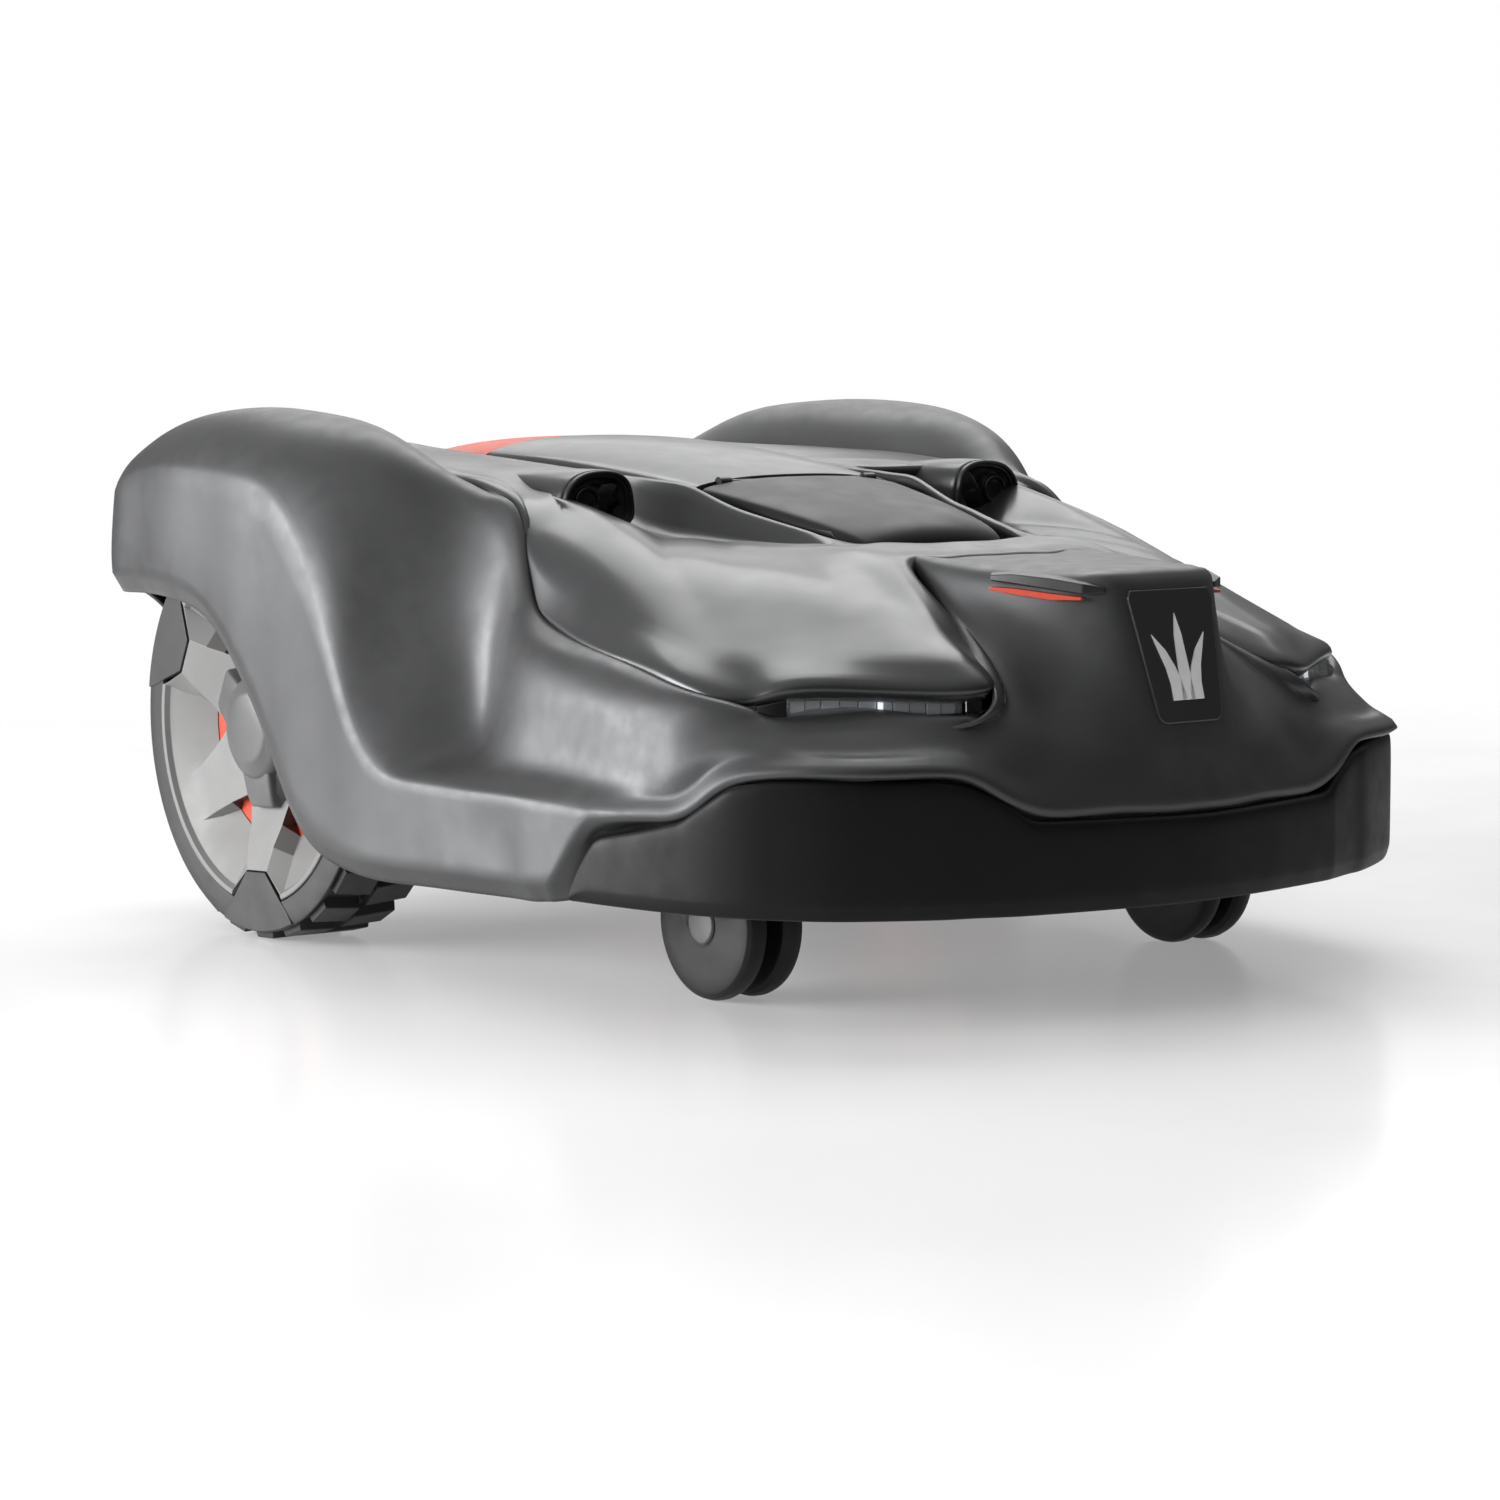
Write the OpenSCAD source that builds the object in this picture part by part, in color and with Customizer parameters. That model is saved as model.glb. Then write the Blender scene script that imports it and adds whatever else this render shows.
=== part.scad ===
// Robotic lawn mower. The front faces -Y, the wheels stand on Z = 0 and X runs across the machine.
// The chassis carries everything. The outer shell floats on it on four posts, so that a bump can be felt.

/* [Shell] */
// Wall of the moulded body shell
shell_wall = 2.5; // [2:0.1:3]
// Wall of the top cover and the hatch
cover_wall = 2.5; // [2:0.1:3]
// Depth of the rubber bumper from front to back
bumper_depth = 7; // [5:0.5:8]

/* [Wheels] */
// Radius of a driving wheel over its lugs
wheel_r = 125; // [122:0.5:125]
// Width of a driving wheel's tyre
tyre_w = 58; // [52:1:60]
// Number of lugs round a tyre
lug_count = 24; // [18:1:28]
// Radius of a caster wheel
caster_r = 42; // [38:1:42]
// Distance from the swivel axis back to the caster's axle
caster_trail = 22; // [18:1:24]

/* [Cutting] */
// Radius of the blade disc
disc_r = 100; // [90:1:104]
// Radius at which the blades pivot
blade_pivot_r = 92; // [84:1:92]
// Length of a blade from its pivot to its tip
blade_reach = 28; // [24:1:30]
// Radius of the skid plate under the disc
skid_r = 82; // [70:1:84]

/* [Controls] */
// Radius of a key on the keypad
key_r = 8; // [6:0.5:8.5]

/* [Hidden] */
$fn = 48;
SMALL = 0.01;
FAR = 400;

// Where things are
bumper_z = 62;
wheel_y = 172;
wheel_z = wheel_r;
tyre_in = 206;
caster_x = 168;
swivel_y = -190;
cutter_y = -20;
blade_z = 58;
disc_z = 61.5;
disc_t = 3;
tub_z = 62;
front_z = 140;
rear_z = 175;
wall = 4;
lid_t = 4;
hump_top = 262;
step_y = 40;
hinge_y = -12;
hinge_z = 270;
hinge_pin_r = 2;
bearing_gap = 0.05;
pod_place = [134, -14, 262];
post_places = [[96, -176, 232], [128, 250, 277]];

// Ribs of the body shell, from the middle of the nose round the left side to the middle of the tail.
// Each rib runs from the bottom edge over the flange, the wall and the shoulder to the seam with the cover.
BODY = [
    [[0,-343,68],[0,-343,107],[0,-353,110],[0,-351,121],[0,-348,138],[0,-345,152],[0,-327,218],
        [0,-314,230],[0,-262,233],[0,-195,232]],
    [[26,-342,68],[26,-342,107],[26,-352,110],[26,-350,121],[26,-347,138],[25,-344,152],[29,-326,217],
        [30,-313,229],[28,-262,233],[26,-195,232]],
    [[48,-339,68],[48,-339,108],[48,-349,111],[46,-347,122],[40,-344,138],[36,-340,152],[38,-321,214],
        [46,-308,226],[52,-262,231],[46,-195,232]],
    [[76,-335,68],[76,-335,108],[76,-345,111],[72,-342,123],[66,-338,138],[58,-331,152],[52,-312,180],
        [56,-292,204],[66,-250,224],[60,-196,231]],
    [[96,-331,68],[96,-331,109],[97,-341,112],[92,-337,124],[87,-331,139],[82,-324,152],[78,-308,168],
        [77,-290,184],[76,-262,198],[74,-240,207]],
    [[116,-326,68],[117,-326,117],[118,-337,120],[112,-331,130],[107,-327,140],[103,-322,150],
        [99,-316,158],[97,-308,166],[94,-300,175],[90,-288,183]],
    [[134,-320,68],[134,-320,128],[136,-331,131],[130,-325,138],[125,-320,143],[120,-317,149],
        [116,-314,154],[112,-314,158],[107,-314,162],[102,-313,166]],
    [[158,-312,68],[158,-312,132],[160,-323,135],[155,-317,140],[152,-310,144],[151,-304,149],
        [150,-298,153],[150,-293,156],[150,-288,157],[150,-282,157]],
    [[211,-276,68],[211,-276,133],[219,-284,136],[214,-279,141],[211,-270,144],[209,-264,149],
        [208,-258,153],[206,-254,156],[203,-250,157],[200,-246,157]],
    [[227,-246,68],[227,-245,125],[236,-249,128],[231,-245,138],[228,-242,144],[225,-241,150],
        [223,-241,155],[221,-241,159],[219,-241,162],[216,-240,164]],
    [[237,-224,68],[237,-223,109],[246,-227,112],[243,-224,122],[241,-222,132],[239,-221,142],
        [237,-221,152],[235,-221,160],[232,-222,166],[229,-222,169]],
    [[252,-152,62],[250,-171,98],[257,-187,107],[253,-187,115],[249,-186,125],[247,-185,140],
        [245,-185,156],[241,-185,168],[236,-186,174],[231,-186,176]],
    [[265,-138,59],[264,-157,92],[262,-168,107],[258,-166,114],[252,-163,124],[249,-161,142],
        [247,-160,160],[242,-160,172],[236,-160,179],[230,-160,181]],
    [[268,-120,58],[268,-120,88],[268,-120,109],[263,-120,115],[254,-119,124],[249,-118,145],
        [246,-116,165],[240,-115,180],[233,-115,186],[227,-115,188]],
    [[272,-60,57],[272,-60,88],[272,-60,109],[266,-60,115],[250,-58,124],[241,-57,148],[237,-57,172],
        [231,-58,190],[225,-60,198],[219,-62,201]],
    [[275,-20,56],[275,-20,88],[275,-20,109],[268,-22,116],[240,-25,130],[227,-27,157],[222,-28,185],
        [218,-30,206],[215,-34,218],[211,-38,224]],
    [[277,12,55],[277,11,88],[277,10,113],[270,5,122],[247,-2,142],[230,-6,172],[221,-8,205],
        [212,-10,232],[207,-12,246],[201,-14,255]],
    [[278,36,56],[278,34,95],[278,33,131],[270,28,143],[252,20,166],[237,15,195],[223,11,225],[212,8,248],
        [206,6,258],[200,4,263]],
    [[278,66,60],[278,64,120],[278,63,184],[271,56,197],[256,47,215],[241,40,235],[227,35,253],
        [214,31,264],[207,30,269],[199,30,268]],
    [[279,108,86],[279,106,160],[277,104,243],[270,97,257],[259,89,270],[246,82,281],[232,76,289],
        [216,72,289],[204,68,281],[196,66,270]],
    [[279,136,126],[279,134,195],[277,132,264],[269,128,279],[257,123,291],[243,118,299],[226,113,303],
        [210,108,298],[199,104,286],[190,100,273]],
    [[280,166,164],[280,164,215],[278,162,271],[270,161,286],[258,159,298],[243,158,306],[226,157,308],
        [208,155,304],[193,153,292],[182,150,275]],
    [[280,204,193],[280,203,230],[278,203,274],[270,204,289],[258,206,301],[243,208,308],[225,210,310],
        [206,210,307],[190,208,295],[178,205,276]],
    [[280,250,202],[280,250,236],[277,250,275],[269,252,287],[257,255,297],[242,257,304],[224,259,307],
        [205,259,305],[189,257,294],[176,255,277]],
    [[277,297,202],[277,297,234],[274,297,268],[266,299,279],[254,302,287],[240,305,294],[222,308,298],
        [203,309,298],[187,307,289],[174,300,276]],
    [[268,324,202],[268,325,226],[265,326,255],[258,329,265],[247,333,273],[234,337,280],[217,339,284],
        [199,339,285],[183,334,281],[170,325,274]],
    [[242,344,198],[242,346,216],[240,347,238],[235,349,249],[226,350,259],[216,351,267],[203,351,272],
        [188,350,274],[172,344,274],[158,332,271]],
    [[192,352,152],[192,355,180],[190,355,209],[187,355,229],[183,355,245],[177,354,257],[168,352,264],
        [156,349,268],[144,341,268],[132,332,266]],
    [[120,356,114],[120,359,150],[120,359,185],[118,358,212],[116,356,232],[112,353,246],[106,348,255],
        [99,343,260],[91,337,262],[83,330,262]],
    [[0,358,102],[0,360,140],[0,360,175],[0,358,205],[0,355,226],[0,352,242],[0,347,253],[0,341,259],
        [0,335,261],[0,328,261]]];

// Ribs of the top cover beside the same ribs of the body, from the seam over the bonnet to the opening
// round the console.
COVER = [
    [[0,-192,230],[0,-190,233],[0,-183,235],[0,-175,236],[0,-167,237],[0,-159,238],[0,-152,236]],
    [[26,-192,230],[26,-190,233],[26,-183,235],[26,-175,236],[27,-167,237],[28,-159,238],[29,-152,236]],
    [[46,-192,230],[47,-190,233],[48,-183,235],[50,-174,236],[53,-165,238],[56,-156,239],[58,-149,237]],
    [[64,-194,228],[66,-192,232],[70,-184,235],[74,-172,237],[75,-158,239],[73,-144,241],[69,-133,240]],
    [[78,-239,206],[81,-236,210],[88,-222,219],[93,-200,227],[91,-172,235],[84,-142,241],[72,-118,243]],
    [[94,-285,182],[97,-281,187],[104,-264,198],[109,-230,211],[106,-188,226],[95,-142,240],[74,-103,246]],
    [[108,-308,168],[110,-304,173],[114,-292,186],[120,-250,203],[119,-195,223],[104,-136,241],[77,-88,249]],
    [[158,-281,170],[157,-278,175],[153,-262,187],[147,-218,206],[137,-163,228],[116,-105,243],[80,-68,253]],
    [[203,-247,172],[201,-244,176],[193,-226,187],[176,-188,207],[156,-134,230],[128,-78,247],[83,-45,259]],
    [[211,-236,168],[209,-233,173],[202,-214,187],[183,-178,208],[160,-122,233],[132,-66,249],[85,-30,264]],
    [[225,-219,171],[222,-215,177],[209,-196,189],[190,-160,211],[166,-104,237],[136,-54,252],[87,-15,268]],
    [[228,-186,178],[225,-184,184],[212,-168,195.9],[193,-138,217.8],[168,-88,240.5],[138,-42,255],
        [88,0,269]],
    [[227,-160,183],[223,-158,189],[212,-145,200.9],[194,-118,222.6],[169,-74,243.9],[140,-32,257.9],
        [89,12,269.7]],
    [[224,-115,190],[220,-113,196],[212,-106,209.9],[195,-86,233.5],[170,-52,251.5],[141,-18,263],
        [90,28,270.6]],
    [[215,-62,203],[213,-60,209],[208,-56,223.9],[194,-42,245.5],[171,-18,260.3],[142,4,269.3],[91,45,271.6]],
    [[207,-36,226],[205,-34,231],[202,-28,242],[190,-15,255.5],[169,5,266.2],[141,25,272.6],[91,62,272.6]],
    [[197,-12,257],[195,-10,260],[191,-3,260.7],[182,8,262.2],[163,25,265.3],[138,45,268.8],[92,80,273.7]],
    [[196,6,264],[193,8,267],[187,14,267.7],[178,24,268.7],[160,40,270.5],[136,60,272.5],[92,98,274.7]],
    [[195,31,269],[192,32,272],[186,36,272.4],[177,45,273.1],[159,60,274.3],[134,78,275.3],[92,114,275.7]],
    [[192,66,271],[189,67,274],[183,70,274.4],[174,78,275],[156,90,276],[132,106,276.7],[92,132,276.7]],
    [[186,100,274],[183,101,277],[177,104,277.3],[168,110,277.7],[152,120,278.3],[129,133,278.6],
        [92,150,277.8]],
    [[178,150,276],[175,150,279],[169,151,279.3],[161,153,279.6],[146,157,280],[125,162,280.1],
        [92,170,278.9]],
    [[174,205,277],[171,205,280],[165,205,280.4],[157,206,280.9],[143,207,281.5],[123,208,281.9],
        [92,210,281.3]],
    [[172,255,277],[169,254,280],[163,252,280.5],[155,250,281.2],[141,248,282.3],[121,246,283.2],
        [92,244,283.3]],
    [[170,299,276],[167,298,279],[161,294,279.8],[153,290,280.8],[139,285,282.5],[120,280,284.1],
        [92,276,285.3]],
    [[166,321,274],[163,318,276],[157,312,277],[148,307,278.4],[134,301,280.4],[116,297,282.3],[92,293,284]],
    [[155,328,271],[152,325,274],[146,319,275],[138,315,276.4],[124,310,278.3],[108,308,279.9],[90,306,281]],
    [[130,328,267],[128,325,270],[123,321,271.3],[115,317,273.2],[104,315,275.5],[92,313,277.4],[78,312,279]],
    [[82,326,263],[81,323,266],[78,319,270],[73,317,273],[66,315,276],[59,314,278],[50,313,279]],
    [[0,324,262],[0,321,265],[0,319,269],[0,317,273],[0,315,276],[0,314,278],[0,313,279]]];

// Stations of the bumper round the front: place of the outer face, then the height of its top edge.
BUMPER = [[0,-360,106],[50,-356,107],[104,-346,108],[118,-342,116],[138,-334,127],[158,-327,131],
    [200,-302,132],[224,-277,131],[238,-256,127],[249,-230,108],[256,-206,102],[263,-173,95],[265,-154,65]];

// Curves and skins
function unit(v) = v / norm(v);
function mirrored(p) = [-p[0], p[1], p[2]];
function mixed(a, b, c, d, t) =
    b + 0.5 * t * (c - a + t * (2 * a - 5 * b + 4 * c - d + t * (3 * (b - c) + d - a)));
// A full ring of ribs from the ribs of one side, whose first and last stand on the middle plane
function ring(ribs) = concat(ribs, [for (i = [len(ribs) - 2:-1:1]) [for (p = ribs[i]) mirrored(p)]]);
// The same ring with one more rib halfway between each two
function denser(rows) = let(n = len(rows)) [for (i = [0:n - 1]) each [rows[i],
    [for (j = [0:len(rows[i]) - 1])
        mixed(rows[(i + n - 1) % n][j], rows[i][j], rows[(i + 1) % n][j], rows[(i + 2) % n][j], 0.5)]]];
function normal_at(rows, i, j) = let(n = len(rows), m = len(rows[0]))
    unit(cross(rows[(i + 1) % n][j] - rows[(i + n - 1) % n][j],
        rows[i][min(j + 1, m - 1)] - rows[i][max(j - 1, 0)]));
// A point of a half outline drawn in by a margin: across, and along Y where it lies past far_y
function drawn_in(p, margin, far_y) =
    [max(p[0] - (p[0] > 0 ? margin : 0), 0), p[1] - (abs(p[1]) > far_y ? sign(p[1]) * margin : 0)];

// A closed skin of one wall thickness on a ring of ribs
module ring_skin(rows, thickness) {
    n = len(rows);
    m = len(rows[0]);
    outer = [for (i = [0:n - 1]) for (j = [0:m - 1]) rows[i][j]];
    inner = [for (i = [0:n - 1]) for (j = [0:m - 1]) rows[i][j] - thickness * normal_at(rows, i, j)];
    function at(i, j) = (i % n) * m + j;
    sides = [for (i = [0:n - 1]) for (j = [0:m - 2]) each [
        [at(i, j), at(i, j + 1), at(i + 1, j + 1)], [at(i, j), at(i + 1, j + 1), at(i + 1, j)]]];
    backs = [for (f = sides) [f[2] + n * m, f[1] + n * m, f[0] + n * m]];
    edges = [for (i = [0:n - 1]) each [
        [at(i, 0), at(i + 1, 0), at(i + 1, 0) + n * m], [at(i, 0), at(i + 1, 0) + n * m, at(i, 0) + n * m],
        [at(i + 1, m - 1), at(i, m - 1), at(i, m - 1) + n * m],
        [at(i + 1, m - 1), at(i, m - 1) + n * m, at(i + 1, m - 1) + n * m]]];
    polyhedron(concat(outer, inner), concat(sides, backs, edges));
}

// A solid swept through closed sections
module swept(sections) {
    n = len(sections);
    m = len(sections[0]);
    last = (n - 1) * m;
    walls = [for (i = [0:n - 2]) for (j = [0:m - 1]) each [
        [i * m + j, (i + 1) * m + j, (i + 1) * m + (j + 1) % m],
        [i * m + j, (i + 1) * m + (j + 1) % m, i * m + (j + 1) % m]]];
    steps = [0:floor((m - 3) / 2)];
    tops = [for (j = steps) each [[j, m - 2 - j, m - 1 - j], [last + m - 2 - j, last + j, last + m - 1 - j]]];
    fills = [for (j = steps) if (j + 1 < m - 2 - j)
        each [[j, j + 1, m - 2 - j], [last + j + 1, last + j, last + m - 2 - j]]];
    polyhedron([for (s = sections) each s], concat(walls, tops, fills));
}

module both_sides() {
    children();
    mirror([1, 0, 0]) children();
}

// Turns a part modelled along +Z to lie along +X
module along_x() {
    rotate([90, 0, 90]) children();
}

// Chassis
// Plan outline of the chassis, drawn in by a margin
module chassis_plan(margin) {
    half = [[0, -300], [100, -290], [176, -242], [222, -196], [228, -120], [206, -60], [186, -30], [186, 296],
        [170, 318], [0, 318]];
    offset_half = [for (p = half) drawn_in(p, margin, 280)];
    polygon(concat(offset_half, [for (i = [len(half) - 1:-1:0]) [-offset_half[i][0], offset_half[i][1]]]));
}

// Everything in front of, or behind, the step in the chassis
module step_block(rear, z_low, z_high, late = 0) {
    translate([-FAR, rear ? step_y + late : -FAR, z_low])
        cube([2 * FAR, rear ? FAR : FAR + step_y, z_high - z_low]);
}

module caster_wells(radius, z_high) {
    both_sides() translate([caster_x, swivel_y, 0]) cylinder(r = radius, h = z_high);
}

module chassis_tub() color("#3b3d40") {
    difference() {
        union() {
            translate([0, 0, tub_z]) linear_extrude(front_z - tub_z) chassis_plan(0);
            intersection() {
                translate([0, 0, tub_z]) linear_extrude(rear_z - tub_z) chassis_plan(0);
                union() {
                    step_block(true, tub_z, front_z);
                    step_block(true, tub_z, rear_z, wall + 0.2);
                }
            }
        }
        // Inside of the tub
        difference() {
            union() {
                translate([0, 0, tub_z + wall]) linear_extrude(front_z - tub_z) chassis_plan(wall);
                intersection() {
                    translate([0, 0, tub_z + wall]) linear_extrude(rear_z - tub_z) chassis_plan(wall);
                    step_block(true, tub_z, rear_z + wall);
                }
            }
            caster_wells(76, 106 + wall);
            both_sides() translate([caster_x, swivel_y, 100]) cylinder(r = 14, h = 34);
            translate([0, cutter_y, 0]) cylinder(r = 136, h = 106);
            translate([0, cutter_y, 0]) cylinder(r = 56, h = 134);
            translate([-64, 288, 0]) cube([128, 60, 110]);
        }
        // Wheel wells of the casters and the cutting deck's recess
        caster_wells(72, 106);
        translate([0, cutter_y, -1]) cylinder(r = 132, h = 103);
        translate([0, cutter_y, 0]) cylinder(r = 52, h = FAR);
        // Slot for the carriage's arm
        translate([-14, cutter_y + 40, 107]) cube([28, 30, 100]);
        // Bores for the caster bushes and the wheel axles
        both_sides() translate([caster_x, swivel_y, 0]) cylinder(r = 9, h = 128);
        both_sides() translate([caster_x, swivel_y, 0]) cylinder(r = 6, h = 160);
        both_sides() translate([150, wheel_y, wheel_z]) along_x() cylinder(r = 11, h = 60);
        // Hand hole of the carrying handle
        translate([-58, 292, 0]) cube([116, 16, 106]);
        // Two screw holes for an accessory under the tail
        both_sides() translate([76, 306, 0]) cylinder(r = 2.25, h = 80);
    }
}

// The console's outline, narrower towards the front
module console_plan(margin) {
    half = [[0, -143], [54, -143], [62, -100], [70, -50], [77, 0], [82, 50], [84.5, 110], [84.5, 300],
        [0, 300]];
    inner = [for (p = half) drawn_in(p, margin, 140)];
    polygon(concat(inner, [for (i = [len(half) - 1:-1:0]) [-inner[i][0], inner[i][1]]]));
}

// The console between two side profiles
module console_block(profile, margin) {
    intersection() {
        linear_extrude(FAR) console_plan(margin);
        translate([-FAR, 0, 0]) along_x() linear_extrude(2 * FAR) polygon(profile);
    }
}

module upper_chassis() color("#2b2c2e") {
    front_lid = front_z + 2;
    rear_lid = rear_z + 2;
    difference() {
        union() {
            intersection() {
                translate([0, 0, front_lid]) linear_extrude(lid_t) chassis_plan(0);
                step_block(false, 0, FAR);
            }
            intersection() {
                translate([0, 0, front_lid]) linear_extrude(rear_lid + lid_t - front_lid) chassis_plan(0);
                step_block(true, 0, FAR);
            }
            console_block([[-143, front_lid], [-143, 224], [-116, 246], [-20, 256], [0, hump_top - 4],
                [30, hump_top], [300, hump_top], [300, front_lid]], 0);
            for (x = [-58, 50]) translate([x, -16, 250]) cube([8, 8, 20]);
            for (x = [-58, 50]) translate([x, hinge_y, hinge_z]) along_x() cylinder(r = 3.6, h = 8);
        }
        translate([-FAR, step_y + wall, 0]) cube([2 * FAR, FAR, rear_lid]);
        console_block([[-139, 0], [-139, 218], [-114, 240], [-20, 250], [30, 254], [296, 254], [296, 0]], 3);
        translate([-70, hinge_y, hinge_z]) along_x() cylinder(r = hinge_pin_r + bearing_gap, h = 140);
        // Window for the display, the keypad's plugs and the stop button's spring
        translate([-40, 118, hump_top - 20]) cube([80, 50, 40]);
        translate([0, 250, hump_top - 20]) cylinder(r = 9, h = 40);
    }
    // Guide for the lead of the stop button's spring
    translate([0, 250, 244]) difference() {
        cylinder(r = 12, h = 10);
        translate([0, 0, 2]) cylinder(r = 9, h = 20);
    }
}

module chassis_seal() color("#151516") {
    translate([0, 0, front_z + 0.2]) linear_extrude(1.6) difference() {
        intersection() {
            chassis_plan(0.5);
            translate([-FAR, -FAR]) square([2 * FAR, FAR + step_y - 0.5]);
        }
        intersection() {
            chassis_plan(3.5);
            translate([-FAR, -FAR]) square([2 * FAR, FAR + step_y - 0.5]);
        }
    }
    translate([0, 0, rear_z + 0.2]) linear_extrude(1.6) difference() {
        intersection() {
            chassis_plan(0.5);
            translate([-FAR, step_y + wall + 0.5]) square([2 * FAR, FAR]);
        }
        intersection() {
            chassis_plan(3.5);
            translate([-FAR, step_y + wall + 0.5]) square([2 * FAR, FAR]);
        }
    }
}

module battery_pack() color("#222831") {
    translate([-78, 196, tub_z + wall + 1]) cube([156, 86, 60]);
}

module main_circuit_board() color("#1d6b3c") {
    translate([-75, 195, 150]) cube([150, 90, 1.6]);
    // Terminals and the large components
    for (x = [-60:24:60]) translate([x - 8, 205, 151.6]) cube([16, 12, 9]);
    translate([-20, 240, 151.6]) cube([40, 30, 4]);
}

module display_panel() color("#0d1114") {
    translate([-39, 119, hump_top - 6]) cube([78, 48, 7]);
}

// Places of the keys on the keypad
KEY_PLACES = [[0, 86], [0, 44], [0, 65], [-34, 65], [34, 65]];

module keypad_panel() color("#26282a") {
    difference() {
        translate([-52, 28, hump_top + 0.1]) cube([104, 76, 4]);
        for (p = KEY_PLACES) translate([p[0], p[1], hump_top + 1.5]) cylinder(r = key_r + 0.6, h = 6);
    }
}

module key(i) color("#c8cacb") {
    translate([KEY_PLACES[i][0], KEY_PLACES[i][1], hump_top + 3.2]) cylinder(r = key_r, h = 3);
}
module key_up() { key(0); }
module key_down() { key(1); }
module key_ok() { key(2); }
module key_back() { key(3); }
module key_start() { key(4); }

// Gear motor of a driving wheel, with the bore its axle turns in
module wheel_motor() color("#6d7073") {
    difference() {
        translate([98, wheel_y, wheel_z]) along_x() union() {
            cylinder(r = 30, h = 52);
            translate([0, 0, 52]) cylinder(r = 42, h = 31);
        }
        translate([140, wheel_y, wheel_z]) along_x() cylinder(r = 8 + bearing_gap, h = 60);
    }
}
module wheel_motor_left() { wheel_motor(); }
module wheel_motor_right() { mirror([1, 0, 0]) wheel_motor(); }

module caster_bushes() color("#d8d5c8") {
    both_sides() translate([caster_x, swivel_y, 106]) difference() {
        union() {
            cylinder(r = 9 - bearing_gap, h = 22);
            translate([0, 0, -2]) cylinder(r = 13, h = 1.9);
        }
        translate([0, 0, -3]) cylinder(r = 5 + bearing_gap, h = 40);
    }
}

// Foot of each suspension post, standing on the lid
module post_bases() color("#1a1a1b") {
    for (p = post_places) both_sides() {
        foot = (p[1] > 0 ? rear_z : front_z) + 2 + lid_t;
        translate([p[0], p[1], foot + 0.1]) cylinder(r1 = 20, r2 = 14, h = p[2] - 45 - foot);
    }
}
module post_stems() color("#101010") {
    for (p = post_places) both_sides() translate([p[0], p[1], p[2] - 44.5]) cylinder(r = 16, h = 9);
    // Cross frame that joins the four posts
    for (p = post_places) translate([-p[0] + 15, p[1] - 3, p[2] - 43]) difference() {
        cube([2 * p[0] - 30, 6, 3]);
        translate([p[0] - 15 - 95, -1, -1]) cube([190, 8, 5]);
    }
}
module post_heads() color("#8f9194") {
    for (p = post_places) both_sides() translate([p[0], p[1], p[2] - 35]) {
        cylinder(r = 13, h = 4);
        cylinder(r = 4, h = 20);
    }
}
module cover_sockets() color("#2b2c2e") {
    for (p = post_places) both_sides() translate([p[0], p[1], p[2] - 30]) difference() {
        cylinder(r = 8, h = 20);
        translate([0, 0, -1]) cylinder(r = 4.8, h = 20);
    }
}

module hatch_pin() color("#b9bbbd") {
    translate([-58, hinge_y, hinge_z]) along_x() cylinder(r = hinge_pin_r, h = 116);
}

module chassis_screws() color("#9a9c9e") {
    for (y = [-262, 60, 180, 270])
        both_sides() translate([y < 0 ? 84 : 150, y, tub_z - 2]) cylinder(r = 4, h = 1.9);
}

module height_motor() color("#3a3b3d") {
    translate([0, 62, 214]) cylinder(r = 17, h = 34);
}

module height_screw() color("#b9bbbd") {
    translate([0, 62, 107]) cylinder(r = 4, h = 106.5);
}

module front_fascia() color("#4a4c4e") {
    rear = hinge_y - 7;
    console_block([[-145, 225], [-146, 236], [-118, 253], [-60, 265], [rear, 273], [rear, 257], [-114, 247.5],
        [-143, 226]], 0);
}

// Hatch, crowned across and falling towards the front, with its two hinge eyes
HATCH_ROWS = [[-7.5, 75, 268, 275], [20, 77, 271, 280], [60, 80, 275, 286], [110, 82, 279, 291],
    [150, 83, 281, 293],
    [194, 83, 282, 293]];
function hatch_rib(r, drop) = let(xs = [-1, -0.9, -0.65, -0.3, 0, 0.3, 0.65, 0.9, 1])
    [for (x = xs) [x * r[1], r[0], r[2] + (r[3] - r[2]) * (1 - pow(abs(x), 4)) - drop]];

module hatch() color("#8d8f91") {
    swept([for (r = HATCH_ROWS) concat(hatch_rib(r, 0), [for (i = [8:-1:0]) hatch_rib(r, cover_wall)[i]])]);
    for (x = [-44, 24]) translate([x, hinge_y, hinge_z]) along_x() difference() {
        union() {
            cylinder(r = 4, h = 20);
            linear_extrude(20) polygon([[0, -3.9], [2, -3.4], [10, -2], [10, 1.2], [0, 1.2]]);
        }
        translate([0, 0, -1]) cylinder(r = hinge_pin_r + bearing_gap, h = 22);
    }
}

module stop_button() color("#e05a46") {
    swept([for (r = [[199, 82, 276, 291], [215, 83, 279, 292.5], [250, 83, 279, 291], [280, 80, 277, 287],
            [297, 70, 274, 280]])
        let(xs = [-1, -0.8, -0.5, 0, 0.5, 0.8, 1]) concat(
            [for (x = xs) [x * r[1], r[0], r[2] + (r[3] - r[2]) * (1 - pow(abs(x), 3))]],
            [for (i = [6:-1:0]) [xs[i] * r[1], r[0], 270.5]])]);
    translate([0, 250, 262.5 - 6]) cylinder(r = 7, h = 16);
}

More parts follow.
